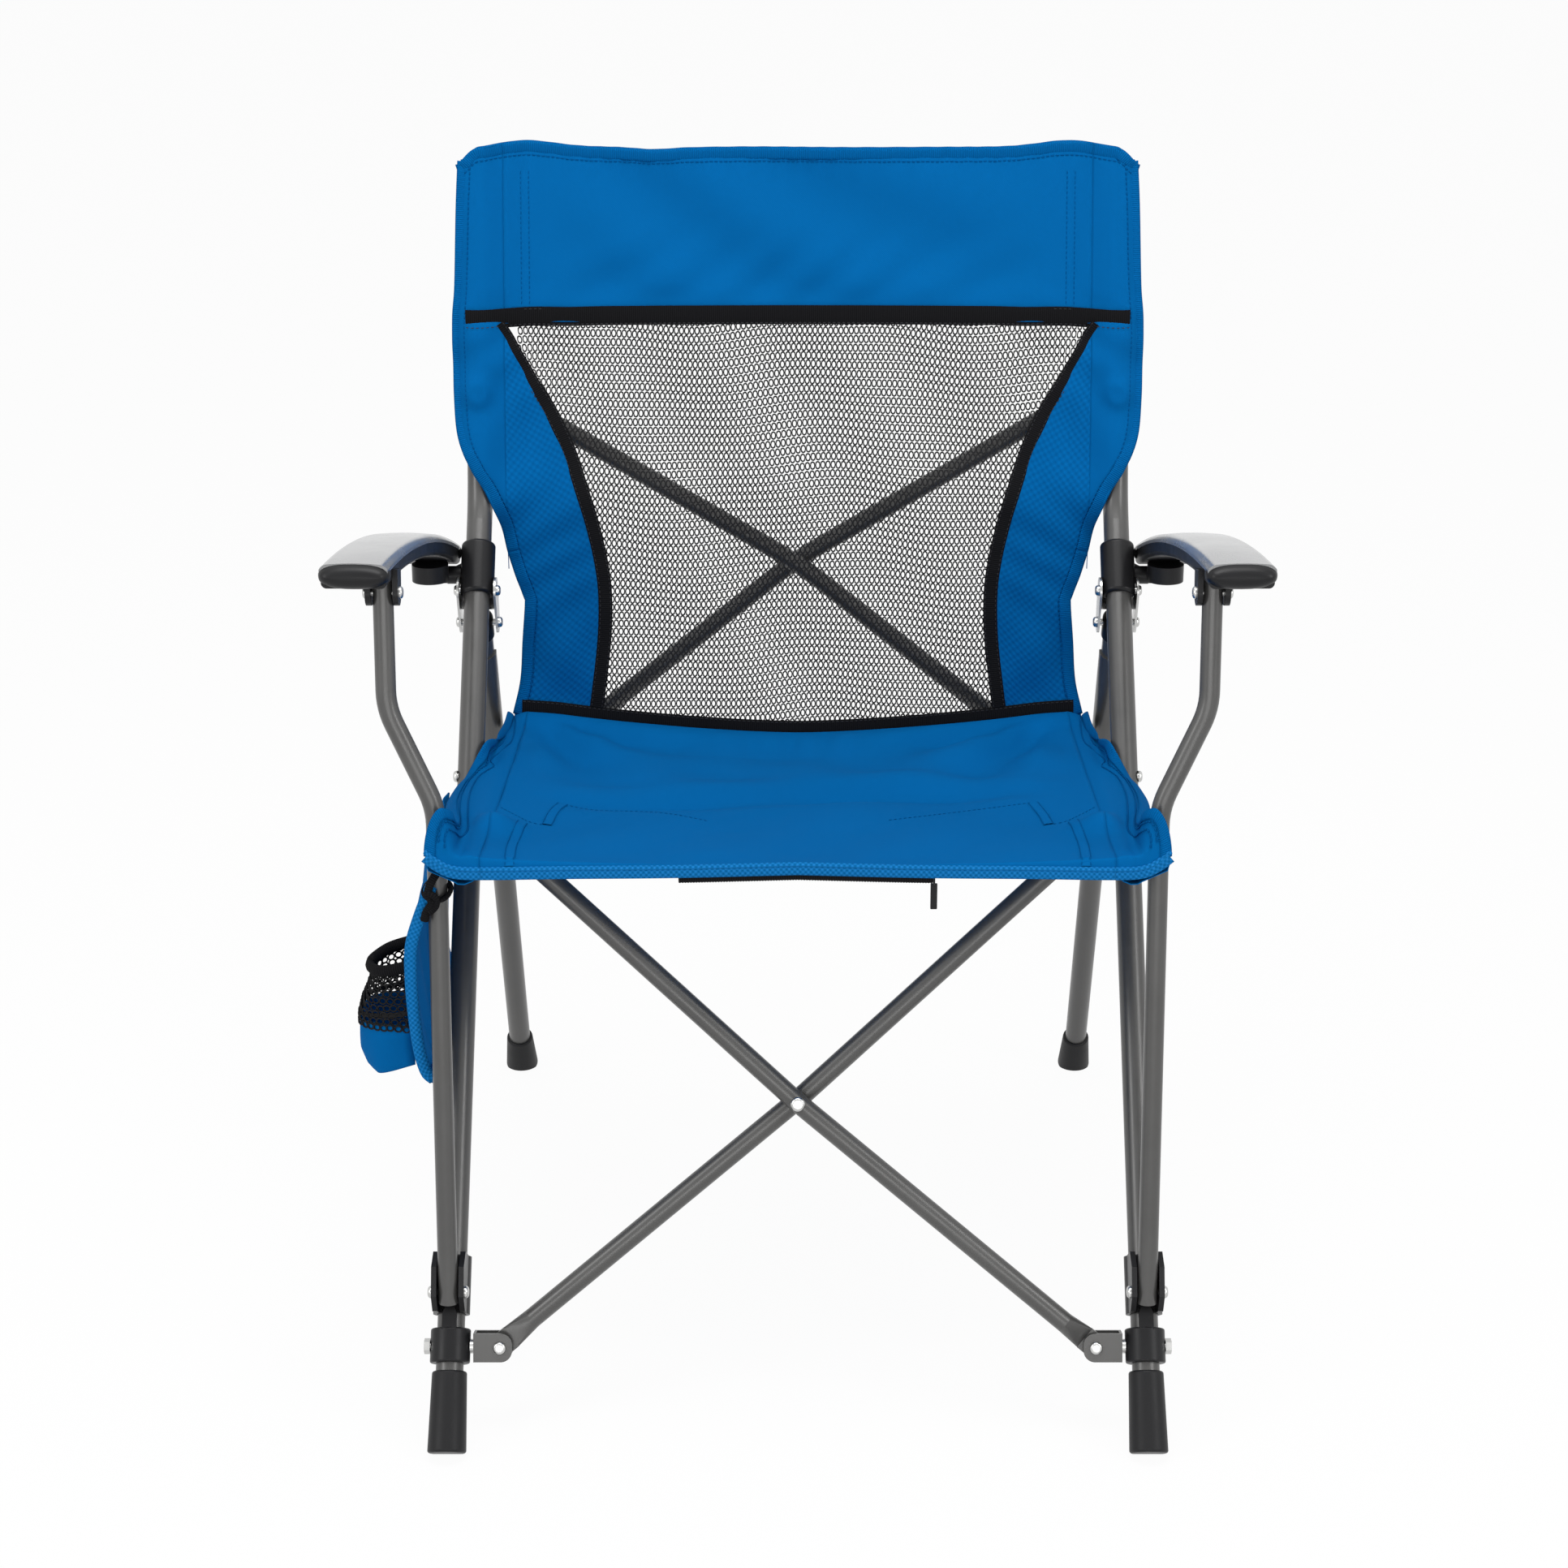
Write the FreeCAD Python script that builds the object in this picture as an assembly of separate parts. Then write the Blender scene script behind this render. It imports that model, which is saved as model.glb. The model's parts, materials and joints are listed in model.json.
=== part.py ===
import FreeCAD, Part
import math
import os

# Folding camp chair. Millimetres, +Z up, the chair faces -Y.
# The sitter's left side is +X. Each left piece is drawn once and mirrored for the right.
# Side-view places on the leaning back post are given by two lengths:
# "t" runs up the post from where its axis meets the ground, and "n" runs square to it,
# forwards and up. Steel tubes are hollow.

V = FreeCAD.Vector

# ---- driving dimensions ----
POST_X = 265.0            # back post axis to the chair's middle
POST_D = 21.0             # back post tube
POST_WALL = 1.5
POST_LEAN = 37.0          # lean of the post below its bend, degrees from upright
POST_TOP_LEAN = 14.0      # lean of the post above its bend
POST_START_T = 18.0       # the tube's lower end, inside the foot
POST_BEND_T = 785.0
POST_BEND_R = 110.0
POST_TOP_L = 276.0        # from the bend's corner to the tube's top end

FOOT_TOP_T = 66.0         # front foot, a long rubber boot
FOOT_TOP_D = 26.5
FOOT_END_T = 5.0
FOOT_END_D = 29.5
FOOT_ROUND = 4.0

COLLAR_T = 85.0           # lower collar: middle, length, outside
COLLAR_L = 26.0
COLLAR_D = 30.5
TAB_L = 19.0              # pointed tab above the lower collar
TAB_W = 11.0
TAB_TIP_W = 4.0
TAB_DEPTH = 4.0

SLIDER_T = 131.0          # sliding bracket: middle and length along the post
SLIDER_L = 44.0
SLIDER_D = 28.0
SLIDER_GAP = 0.4          # running gap on the post
# cheek's outline, as (share of the slider's length from its middle, out from the post)
CHEEK_OUTLINE = [(-0.5, -4.0), (-0.5, 20.0), (-0.3, 33.0), (0.2, 38.0), (0.5, 28.0),
                 (0.5, -4.0)]
CHEEK_THICK = 4.0
CHEEK_GAP = 0.9           # beside the arm post's lower end

ARM_POST_D = 15.0         # arm post tube
ARM_POST_WALL = 1.2
ARM_POST_SPACE = 26.5     # from the back post's axis to its near side, above the bend
ARM_PIVOT_T = 122.6       # its lower pivot
ARM_PIVOT_N = 26.0
ARM_TOP_T = 588.4         # its upper pin
ARM_TOP_N = 288.7
ARM_KINK_LOW = 376.0      # start and end of the outward bend, from the lower pivot
ARM_KINK_HIGH = 450.0
ARM_KINK_R = 60.0
ARM_POST_TAIL = 8.5       # tube below its lower pivot
ARM_POST_HEAD = 11.0      # tube above its upper pin

ARM_REAR_T = 719.8        # armrest's rear hinge pin
ARM_REAR_N = -8.8
ARMREST_W = 49.0
ARMREST_TOP_H = 7.0       # grey top moulding
ARMREST_BASE_H = 11.0     # black carrier
ARMREST_FRONT_Y = 90.0    # centre line of the arched armrest, front, middle and rear
ARMREST_FRONT_Z = 667.0
ARMREST_MID_Y = 272.0
ARMREST_MID_Z = 641.0
ARMREST_REAR_Y = 452.0
ARMREST_REAR_Z = 587.0
EAR_LAP = 1.0             # the armrest's inner edge reaches this far past the inner ear's face
ARMREST_SPLAY = 1.6       # degrees, front ends turned outwards
EAR_THICK = 4.0
EAR_GAP = 0.5
EAR_R = 9.5
HEAD_SWING_GAP = 0.8      # round the arm post's upper end as it swings
REAR_EAR_R = 7.0
CAP_SWEEP = 0.42          # degrees of the arch that an end cap covers
CAP_LENGTH = 7.0
CAP_ROUND = 3.0
CAP_PROUD = 0.8           # the caps stand proud of the armrest by this
FRONT_EAR_L = 17.0        # ears from their pin up into the carrier
REAR_EAR_L = 14.0
BOSS_D = 30.0             # round boss under the armrest's rear end
BOSS_IN = 12.0
BOSS_AHEAD = 34.0
BOSS_DOWN = 8.0
BOSS_LOW = 8.0
BOSS_HIGH = 6.0

UPPER_COLLAR_T = 721.0
UPPER_COLLAR_L = 46.0
UPPER_COLLAR_D = 28.0
LUG_D = 15.0              # barrel on the upper collar's outer side
LUG_OUT = 26.0            # its outer end, from the post's axis

LEG_D = 20.0              # rear leg tube
LEG_WALL = 1.5
LEG_HINGE_T = 684.0
LEG_HINGE_N = -24.5
LEG_SPREAD = 27.3         # lean of the rear leg, degrees from upright
LEG_FOOT_OUT = 5.3        # how far the leg's foot stands outboard of its top
LEG_CAP_D = 23.0
LEG_CAP_UP = 7.5
LEG_CAP_ROOF = 2.0
LEG_CAP_DOWN = 17.0
REAR_FOOT_L = 44.0
REAR_FOOT_TOP_D = 24.5
REAR_FOOT_END_D = 30.5
BRACKET_THICK = 1.8
BRACKET_W = 22.0
BRACKET_DROP = 18.5       # its upper rivet below the collar's middle
BRACKET_GAP = 0.3
STAY_START = 34.0         # channel stay on the leg, from the hinge down
STAY_END = 164.0
STAY_THICK = 1.8
STAY_BOLT = 142.0

RAIL_D = 15.4             # seat rail tube, inboard of the posts
RAIL_WALL = 1.2
RAIL_SIDE_GAP = 1.3       # between the rail and the post
RAIL_PIVOT_T = 540.6
RAIL_PIVOT_N = 1.8
RAIL_RISE = 3.4           # degrees, front end high
RAIL_FRONT = 243.0        # from the pivot to each end
RAIL_BACK = 158.0
RAIL_STUD = 226.8         # stud beside the arm post, from the pivot

X_D = 15.4                # scissor tubes
X_WALL = 1.2
X_LEAN = 17.2             # lean of the front scissor's plane
X_LOW_H = 188.0           # crossing above the lower pivots, in the plane
X_UP_H = 206.5            # upper ends above the crossing
X_OFFSET = 7.9            # each tube's axis before or behind the plane
X_BEND_R = 400.0
PADDLE_R = 9.2            # pressed flat tube ends
PADDLE_H = 3.0
PADDLE_NECK = 11.0
PADDLE_TAPER = 20.0
X_FLAT_SHIFT = 6.2        # flat ends stand this far off the tube's axis

REAR_X_Y = 521.0          # rear scissor's upright plane
REAR_X_Z = 560.0
REAR_X_UP_H = 157.0
REAR_X_LOW_IN = 22.0      # its lower ends, inboard of the posts
REAR_X_LOW_H = 196.0

PIN_D = 6.0
PIN_GAP = 0.08            # running fit in a turning hole
HEAD_D = 11.0
HEAD_H = 3.2
SIDE_HEAD_D = 9.0         # smaller heads beside the posts and on the armrest's pins
SMALL_HEAD_H = 2.6

CLEVIS_THICK = 2.0
CLEVIS_H = 22.0
CLEVIS_SIDE_GAP = 2.75    # washer between the collar and the clevis
CLEVIS_REACH = 20.0       # from its web to the scissor tube's rivet
CLEVIS_LIP = 9.5          # jaws past that rivet
CLEVIS_GAP = 1.3          # between the flat end and the nearer jaw
WASHER_GAP = 0.25
BOLT_END_D = 8.0          # bolt's riveted end, between the jaws
BOLT_END_H = 2.6
BOLT_HEAD_R = 6.0         # six-sided bolt head, corner radius and height
BOLT_HEAD_H = 4.5
WASHER_D = 11.0
CLEVIS_HEAD_D = 10.0
CLEVIS_HEAD_H = 3.0

SHEET_GAP = 0.6           # soft sheets stay this far from the tubes
SEAT_THICK = 3.0
SEAT_FRONT = 240.0
SEAT_BACK = 148.0
SEAT_NOTCH_Y = 26.0
SEAT_NOTCH_IN = 23.0      # inboard of the front scissor's ends
SEAT_RELIEF = 9.0         # half size of the cut-out round the rail's rivet
BACK_THICK = 2.4
MESH_THICK = 1.6
BACK_LOW_Y = 478.0
BACK_LOW_Z = 434.0
BACK_ABOVE_POST = 4.2695  # the cloth's top corners above the end of the post's axis
BACK_TOP_SAG = 3.0        # its top edge is lower in the middle
BACK_TOP_EASE_IN = 103.9  # and nearly level this far in from the posts
BACK_TOP_EASE = 1.0
# the back's side edge below its top corner, as (inboard of the post's sleeve line, height)
BACK_SIDE = [(0.0, 640.0), (4.9, 609.0), (10.9, 576.0), (19.9, 540.0), (18.9, 499.0),
             (16.9, 461.0), (9.9, BACK_LOW_Z)]
# the mesh window's side edge, the same way
MESH_SIDE = [(9.9, 768.0), (28.9, 718.0), (55.9, 672.0), (71.9, 627.0), (82.9, 586.0),
             (88.9, 545.0), (88.4, 503.0), (81.9, 460.0), (77.9, 446.0)]
MESH_SEAM = 0.5

BAG_OUT = 18.0            # organizer on the right side, outboard of the back post
BAG_THICK = 3.0
BAG_FRONT_Y = 88.0
BAG_BACK_Y = 302.0
BAG_LOW_Z = 262.0
BAG_TOP_Z = 412.0
CUP_L = 92.0
CUP_DEPTH = 46.0
CUP_H = 122.0
CUP_WALL = 2.0
CUP_ROUND = 20.0
STRAP_W = 14.0
STRAP_THICK = 1.6
STRAP_Z = 404.0

ZIP_X = 100.0             # zip slider under the seat's front edge
ZIP_BODY = (9.0, 7.0, 5.0)
PULL_L = 20.0
PULL_W = 5.0
PULL_THICK = 1.6
PULL_RING_D = 8.0
PULL_WIRE = 1.4

GROUND_BOX = 4000.0       # size of the block that trims what would pass the ground

# ---- places that follow from the sizes above ----
ARM_POST_X = POST_X + ARM_POST_SPACE + ARM_POST_D / 2
ARMREST_X = ARM_POST_X - ARM_POST_D / 2 - EAR_GAP - EAR_LAP + ARMREST_W / 2
LUG_END_X = POST_X + LUG_OUT
RAIL_X = POST_X - POST_D / 2 - RAIL_D / 2 - RAIL_SIDE_GAP
CLEVIS_WEB_X = POST_X - COLLAR_D / 2 - CLEVIS_SIDE_GAP
X_PIVOT_X = CLEVIS_WEB_X - CLEVIS_REACH
CLEVIS_END_X = X_PIVOT_X - CLEVIS_LIP
SEAT_NOTCH_X = X_PIVOT_X - SEAT_NOTCH_IN
REAR_X_UP_X = POST_X
REAR_X_LOW_X = POST_X - REAR_X_LOW_IN
BAG_X = POST_X + BAG_OUT
SLEEVE_X = POST_X - POST_D / 2 - SHEET_GAP


# ---- places in the side view ----
def unit(lean):
    a = math.radians(lean)
    return V(0, math.sin(a), math.cos(a))


def square(lean):
    a = math.radians(lean)
    return V(0, -math.cos(a), math.sin(a))


def spot(x, t, n=0.0):
    """Point at t up the lower post and n square to it."""
    return V(x, 0, 0) + unit(POST_LEAN) * t + square(POST_LEAN) * n


def post_top(length):
    """Point up the post's upper part, from the bend's corner."""
    return spot(POST_X, POST_BEND_T) + unit(POST_TOP_LEAN) * length


# ---- shapes ----
def cyl(p, q, d):
    axis = q - p
    return Part.makeCylinder(d / 2, axis.Length, p, axis)


def cone(p, q, d1, d2):
    axis = q - p
    return Part.makeCone(d1 / 2, d2 / 2, axis.Length, p, axis)


def bent_path(points, radius):
    edges = []
    start = points[0]
    for k in range(1, len(points) - 1):
        corner = points[k]
        back = (points[k - 1] - corner).normalize()
        ahead = (points[k + 1] - corner).normalize()
        half = (math.pi - back.getAngle(ahead)) / 2
        reach = radius * math.tan(half)
        a = corner + back * reach
        b = corner + ahead * reach
        middle = (back + ahead).normalize()
        centre = corner + middle * (radius / math.cos(half))
        edges.append(Part.LineSegment(start, a).toShape())
        edges.append(Part.Arc(a, centre - middle * radius, b).toShape())
        start = b
    edges.append(Part.LineSegment(start, points[-1]).toShape())
    return Part.Wire(edges)


def sweep(points, radius, d):
    path = bent_path(points, radius)
    ring = Part.Wire([Part.makeCircle(d / 2, points[0], points[1] - points[0])])
    return path.makePipeShell([ring], True, False)


def tube(points, radius, d, wall):
    if len(points) == 2:
        return cyl(points[0], points[1], d).cut(cyl(points[0], points[1], d - 2 * wall))
    return sweep(points, radius, d).cut(sweep(points, radius, d - 2 * wall))


def placed(shape, origin, ex, ey, ez):
    m = FreeCAD.Matrix(ex.x, ey.x, ez.x, origin.x, ex.y, ey.y, ez.y, origin.y,
                       ex.z, ey.z, ez.z, origin.z, 0, 0, 0, 1)
    out = shape.copy()
    out.Placement = FreeCAD.Placement(m)
    return out


def face(points):
    return Part.Face(Part.makePolygon(points + [points[0]]))


def prism(points, along):
    return face(points).extrude(along)


def fuse(parts):
    out = parts[0]
    for p in parts[1:]:
        out = out.fuse(p)
    return out.removeSplitter()


def head(p, out_dir, d=HEAD_D, h=HEAD_H):
    """Domed rivet head that stands on p."""
    base = cyl(p, p + out_dir * h, d)
    edge = [e for e in base.Edges if (e.BoundBox.Center - p).dot(out_dir) > h * 0.9]
    return base.makeFillet(h * 0.8, edge)


def rivet(a, b, d=PIN_D, hd=HEAD_D, hh=HEAD_H):
    """Pin from a to b with a domed head outside each end."""
    axis = (b - a).normalize()
    return fuse([cyl(a, b, d), head(a, axis * -1, hd, hh), head(b, axis, hd, hh)])


def hole(a, b, d=PIN_D, gap=PIN_GAP):
    return cyl(a, b, d + 2 * gap)


def section(s, half_w, half_h, z, lead):
    """Closed outline across a tube end: lead is the half length of its flat."""
    if lead is None:
        y, h = half_w * 0.5, half_w * math.sqrt(0.75)
        pts = [(-y, h), (y, h), (y, -h), (-y, -h)]
        mids = [(0, half_w), (half_w, 0), (0, -half_w), (-half_w, 0)]
    else:
        pts = [(-lead, half_h), (lead, half_h), (lead, -half_h), (-lead, -half_h)]
        mids = [None, (half_w, 0), None, (-half_w, 0)]
    edges = []
    for k in range(4):
        a = V(s, pts[k][0], z + pts[k][1])
        b = V(s, pts[(k + 1) % 4][0], z + pts[(k + 1) % 4][1])
        if mids[k] is None:
            edges.append(Part.LineSegment(a, b).toShape())
        else:
            m = V(s, mids[k][0], z + mids[k][1])
            edges.append(Part.Arc(a, m, b).toShape())
    return Part.Wire(edges)


def paddle(shift):
    """Pressed end in its own frame: +X towards the pivot, which is at the origin."""
    r = X_D / 2
    near = section(-PADDLE_NECK - PADDLE_TAPER, r, r, 0, None)
    far = section(-PADDLE_NECK, PADDLE_R, PADDLE_H / 2, shift, PADDLE_R - PADDLE_H / 2)
    taper = Part.makeLoft([near, far], True, True)
    low = V(-PADDLE_NECK, -PADDLE_R, shift - PADDLE_H / 2)
    plate = Part.makeBox(PADDLE_NECK, 2 * PADDLE_R, PADDLE_H, low)
    disc = Part.makeCylinder(PADDLE_R, PADDLE_H, V(0, 0, shift - PADDLE_H / 2))
    return taper, fuse([plate, disc])


def scissor(low, high, shift):
    """Scissor tube in its plane. The crossing is at the origin; shift moves its flat ends."""
    zero = V(0, 0, 0)
    ends = []
    path = []
    for p in (low, high):
        d = V(p[0], p[1], 0)
        u = V(d).normalize()
        side = V(0, 0, 1).cross(u)
        path.append(d - u * (PADDLE_NECK + PADDLE_TAPER))
        taper, flat = paddle(shift)
        ends += [placed(taper, d, u, side, V(0, 0, 1)), placed(flat, d, u, side, V(0, 0, 1))]
    body = tube([path[0], zero, path[1]], X_BEND_R, X_D, X_WALL)
    out = fuse([body] + ends)
    for p in (low, high):
        a = V(p[0], p[1], -X_D)
        out = out.cut(hole(a, a + V(0, 0, 2 * X_D)))
    return out


# ---- output ----
PARTS = {}


def keep(name, shape):
    PARTS[name] = shape


def mirrored(shape):
    return shape.mirror(V(0, 0, 0), V(1, 0, 0))


def pair(name, shape):
    keep("left_" + name, shape)
    keep("right_" + name, mirrored(shape))


UX = V(1, 0, 0)
UP = unit(POST_LEAN)
FWD = square(POST_LEAN)
ARM_AXIS = (spot(0, ARM_TOP_T, ARM_TOP_N) - spot(0, ARM_PIVOT_T, ARM_PIVOT_N)).normalize()
LEG_HINGE = spot(POST_X, LEG_HINGE_T, LEG_HINGE_N)
RAIL_PIVOT = spot(RAIL_X, RAIL_PIVOT_T, RAIL_PIVOT_N)
RAIL_AXIS = V(0, -math.cos(math.radians(RAIL_RISE)), math.sin(math.radians(RAIL_RISE)))
COLLAR_MID = spot(POST_X, COLLAR_T)
ARM_REAR = spot(0, ARM_REAR_T, ARM_REAR_N)
ARM_TOP = spot(ARM_POST_X, ARM_TOP_T, ARM_TOP_N)


def leg_point(s):
    """Point down the rear leg, s from its hinge."""
    a = math.radians(LEG_SPREAD)
    full = LEG_HINGE.z / math.cos(a)
    return LEG_HINGE + V(LEG_FOOT_OUT * s / full, math.sin(a) * s, -math.cos(a) * s)


def ground_trim(shape):
    below = Part.makeBox(GROUND_BOX, GROUND_BOX, GROUND_BOX,
                         V(-GROUND_BOX / 2, -GROUND_BOX / 2, -GROUND_BOX))
    return shape.cut(below)


def through_post(t, n=0.0, reach=60.0):
    """A bore right through the post, along X."""
    p = spot(POST_X, t, n)
    return hole(p - UX * reach, p + UX * reach, gap=0.0)


def back_post():
    path = [spot(POST_X, POST_START_T), spot(POST_X, POST_BEND_T), post_top(POST_TOP_L)]
    shape = tube(path, POST_BEND_R, POST_D, POST_WALL)
    for t in (COLLAR_T, UPPER_COLLAR_T - BRACKET_DROP):
        shape = shape.cut(through_post(t))
    shape = shape.cut(through_post(RAIL_PIVOT_T, RAIL_PIVOT_N))
    p = V(POST_X, 0, REAR_X_Z + REAR_X_UP_H)
    return shape.cut(hole(p, p + V(0, 800, 0), gap=0.0))


def front_foot():
    low = spot(POST_X, FOOT_END_T)
    top = spot(POST_X, FOOT_TOP_T)
    boot = cone(low, top, FOOT_END_D, FOOT_TOP_D)
    ends = [e for e in boot.Edges if len(e.Vertexes) == 1]
    boot = boot.makeFillet(FOOT_ROUND / 2, ends)
    boot = ground_trim(boot)
    return boot.cut(cyl(spot(POST_X, POST_START_T), spot(POST_X, FOOT_TOP_T + 1), POST_D))


def tab(grow=0.0, down=0.0):
    """Pointed tab on the lower collar's front, and the pocket that takes it."""
    base = COLLAR_T + COLLAR_L / 2 - 2 - down
    tip = COLLAR_T + COLLAR_L / 2 + TAB_L + grow
    w = TAB_W / 2 + grow
    tw = TAB_TIP_W / 2 + grow
    n0 = POST_D / 2 + 0.2 - grow
    n1 = POST_D / 2 + TAB_DEPTH + grow
    shoulder = tip - TAB_L * 0.45
    outline = [(-w, base), (w, base), (w, shoulder), (tw, tip), (-tw, tip), (-w, shoulder)]
    pts = [spot(POST_X + x, t, n0) for x, t in outline]
    return prism(pts, FWD * (n1 - n0))


def lower_collar():
    a = spot(POST_X, COLLAR_T - COLLAR_L / 2)
    b = spot(POST_X, COLLAR_T + COLLAR_L / 2)
    body = cyl(a, b, COLLAR_D)
    body = body.makeFillet(1.5, [e for e in body.Edges if len(e.Vertexes) == 1])
    body = body.fuse(tab())
    body = body.cut(cyl(a - UP * 5, b + UP * (TAB_L + 5), POST_D))
    return body.cut(through_post(COLLAR_T))


def collar_bolt():
    outer = COLLAR_MID + UX * (COLLAR_D / 2)
    inner = V(CLEVIS_WEB_X - CLEVIS_THICK, COLLAR_MID.y, COLLAR_MID.z)
    shank = cyl(inner, outer, PIN_D)
    hexagon = [outer + (unit(90 + 60 * k) * BOLT_HEAD_R) for k in range(6)]
    bolt_head = prism(hexagon, UX * BOLT_HEAD_H)
    face_in = V(CLEVIS_WEB_X, inner.y, inner.z)
    washer = cyl(COLLAR_MID - UX * (COLLAR_D / 2), face_in, WASHER_D)
    return fuse([shank, bolt_head, washer, head(inner, UX * -1, BOLT_END_D, BOLT_END_H)])


def upper_collar():
    a = spot(POST_X, UPPER_COLLAR_T - UPPER_COLLAR_L / 2)
    b = spot(POST_X, UPPER_COLLAR_T + UPPER_COLLAR_L / 2)
    body = cyl(a, b, UPPER_COLLAR_D)
    body = body.makeFillet(3.0, [e for e in body.Edges if len(e.Vertexes) == 1])
    r = V(POST_X, ARM_REAR.y, ARM_REAR.z)
    lug = cyl(r, V(LUG_END_X, r.y, r.z), LUG_D)
    reach = LUG_END_X - POST_X
    web = prism([r + UP * 12 + UX * 8, r - UP * 5 + UX * 8, r - UP * 5 + UX * reach,
                 r + UP * 2 + UX * reach], FWD * 5)
    body = fuse([body, lug, web])
    body = body.cut(cyl(a - UP * 5, b + UP * 5, POST_D))
    body = body.cut(hole(V(POST_X + POST_D / 2 + 2, r.y, r.z), V(LUG_END_X + 5, r.y, r.z)))
    return body.cut(through_post(UPPER_COLLAR_T - BRACKET_DROP))


def leg_bracket():
    """Bright U-bracket that clasps the collar and holds the leg's hinge pin."""
    inner = UPPER_COLLAR_D / 2 + BRACKET_GAP
    t = UPPER_COLLAR_T - BRACKET_DROP
    a = spot(POST_X, t)
    b = LEG_HINGE
    r = BRACKET_W / 2
    plates = []
    for s in (-1, 1):
        x0 = POST_X + s * inner if s > 0 else POST_X - inner - BRACKET_THICK
        pa = V(x0, a.y, a.z)
        pb = V(x0, b.y, b.z)
        u = (pb - pa).normalize()
        v = UX.cross(u)
        slab = prism([pa + v * r, pb + v * r * 0.8, pb - v * r * 0.8, pa - v * r],
                     UX * BRACKET_THICK)
        round_a = cyl(pa, pa + UX * BRACKET_THICK, BRACKET_W)
        round_b = cyl(pb, pb + UX * BRACKET_THICK, BRACKET_W * 0.8)
        plates.append(fuse([slab, round_a, round_b]))
    rear = spot(POST_X, t - 1, -UPPER_COLLAR_D / 2 - BRACKET_THICK - 1.6)
    web = prism([rear + UX * (inner + BRACKET_THICK) - UP * 9,
                 rear + UX * (inner + BRACKET_THICK) + UP * 9,
                 rear - UX * (inner + BRACKET_THICK) + UP * 9,
                 rear - UX * (inner + BRACKET_THICK) - UP * 9], FWD * BRACKET_THICK)
    reach = [spot(POST_X, t - 1 + 9 * s, -UPPER_COLLAR_D / 2 - BRACKET_THICK - 1.6)
             for s in (-1, 1)]
    wings = []
    for s in (-1, 1):
        x0 = POST_X + inner if s > 0 else POST_X - inner - BRACKET_THICK
        lo = V(x0, reach[0].y, reach[0].z)
        hi = V(x0, reach[1].y, reach[1].z)
        wings.append(prism([lo, hi, hi + FWD * 14, lo + FWD * 14], UX * BRACKET_THICK))
    body = fuse(plates + wings + [web])
    body = body.cut(hole(a - UX * 40, a + UX * 40, gap=0.0))
    return body.cut(hole(b - UX * 40, b + UX * 40, gap=0.0))


def side_rivets():
    """Collar rivet, leg hinge pin and seat rail pivot of the left post."""
    w = UPPER_COLLAR_D / 2 + BRACKET_GAP + BRACKET_THICK
    c = spot(POST_X, UPPER_COLLAR_T - BRACKET_DROP)
    one = rivet(c - UX * w, c + UX * w, hd=SIDE_HEAD_D)
    two = rivet(LEG_HINGE - UX * w, LEG_HINGE + UX * w, hd=SIDE_HEAD_D)
    p = V(RAIL_X - RAIL_D / 2, RAIL_PIVOT.y, RAIL_PIVOT.z)
    q = V(POST_X + POST_D / 2, RAIL_PIVOT.y, RAIL_PIVOT.z)
    spacer = cyl(p + UX * (RAIL_D + 0.2), q - UX * (POST_D + 0.05), 9.0)
    return [one, two, fuse([rivet(p, q, hd=9.5), spacer])]


def rear_x_pin(flat_y):
    """Pin through the post from front to back that carries a rear tube's flat end."""
    corner = spot(POST_X, POST_BEND_T)
    z = REAR_X_Z + REAR_X_UP_H
    mid = corner.y + math.tan(math.radians(POST_TOP_LEAN)) * (z - corner.z)
    half = POST_D / 2 / math.cos(math.radians(POST_TOP_LEAN))
    a = V(POST_X, mid - half - 1.0, z)
    end = V(POST_X, flat_y + PADDLE_H / 2 + 0.1, z)
    spacer = cyl(V(POST_X, mid + half + 1.3, z), V(POST_X, flat_y - PADDLE_H / 2 - 0.1, z), 10.0)
    return fuse([cyl(a, end, PIN_D), spacer, head(end, V(0, 1, 0), 10.0, 3.0),
                 head(a, V(0, -1, 0), 9.0, 2.4)])


def clevis():
    """U-piece that swivels on the collar bolt; its jaws hold a scissor tube's flat end."""
    u = unit(X_LEAN)
    n = square(X_LEAN)
    base = V(0, COLLAR_MID.y, COLLAR_MID.z)
    gap = jaw_gap()
    jaws = []
    for start in (-gap - CLEVIS_THICK, gap):
        low = base + n * start - u * (CLEVIS_H / 2)
        quad = [low + UX * CLEVIS_END_X, low + UX * CLEVIS_WEB_X,
                low + UX * CLEVIS_WEB_X + u * CLEVIS_H, low + UX * CLEVIS_END_X + u * CLEVIS_H]
        jaw = prism(quad, n * CLEVIS_THICK)
        upright = [e for e in jaw.Edges if abs(e.tangentAt(0).dot(n)) > 0.9
                   and e.BoundBox.Center.x < CLEVIS_END_X + 1]
        jaws.append(jaw.makeFillet(CLEVIS_H * 0.4, upright))
    full = gap + CLEVIS_THICK
    corner = base + UX * (CLEVIS_WEB_X - CLEVIS_THICK) - u * (CLEVIS_H / 2) - n * full
    web = prism([corner, corner + u * CLEVIS_H, corner + u * CLEVIS_H + n * (2 * full),
                 corner + n * (2 * full)], UX * CLEVIS_THICK)
    body = fuse(jaws + [web])
    pin = base + UX * X_PIVOT_X
    body = body.cut(hole(pin - n * 20, pin + n * 20, gap=0.0))
    bolt = base + UX * CLEVIS_WEB_X
    return body.cut(hole(bolt - UX * 5, bolt + UX * 5))


def jaw_gap():
    """From the bolt's axis to each jaw's inner face."""
    return X_OFFSET - X_FLAT_SHIFT + PADDLE_H / 2 + CLEVIS_GAP


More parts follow.
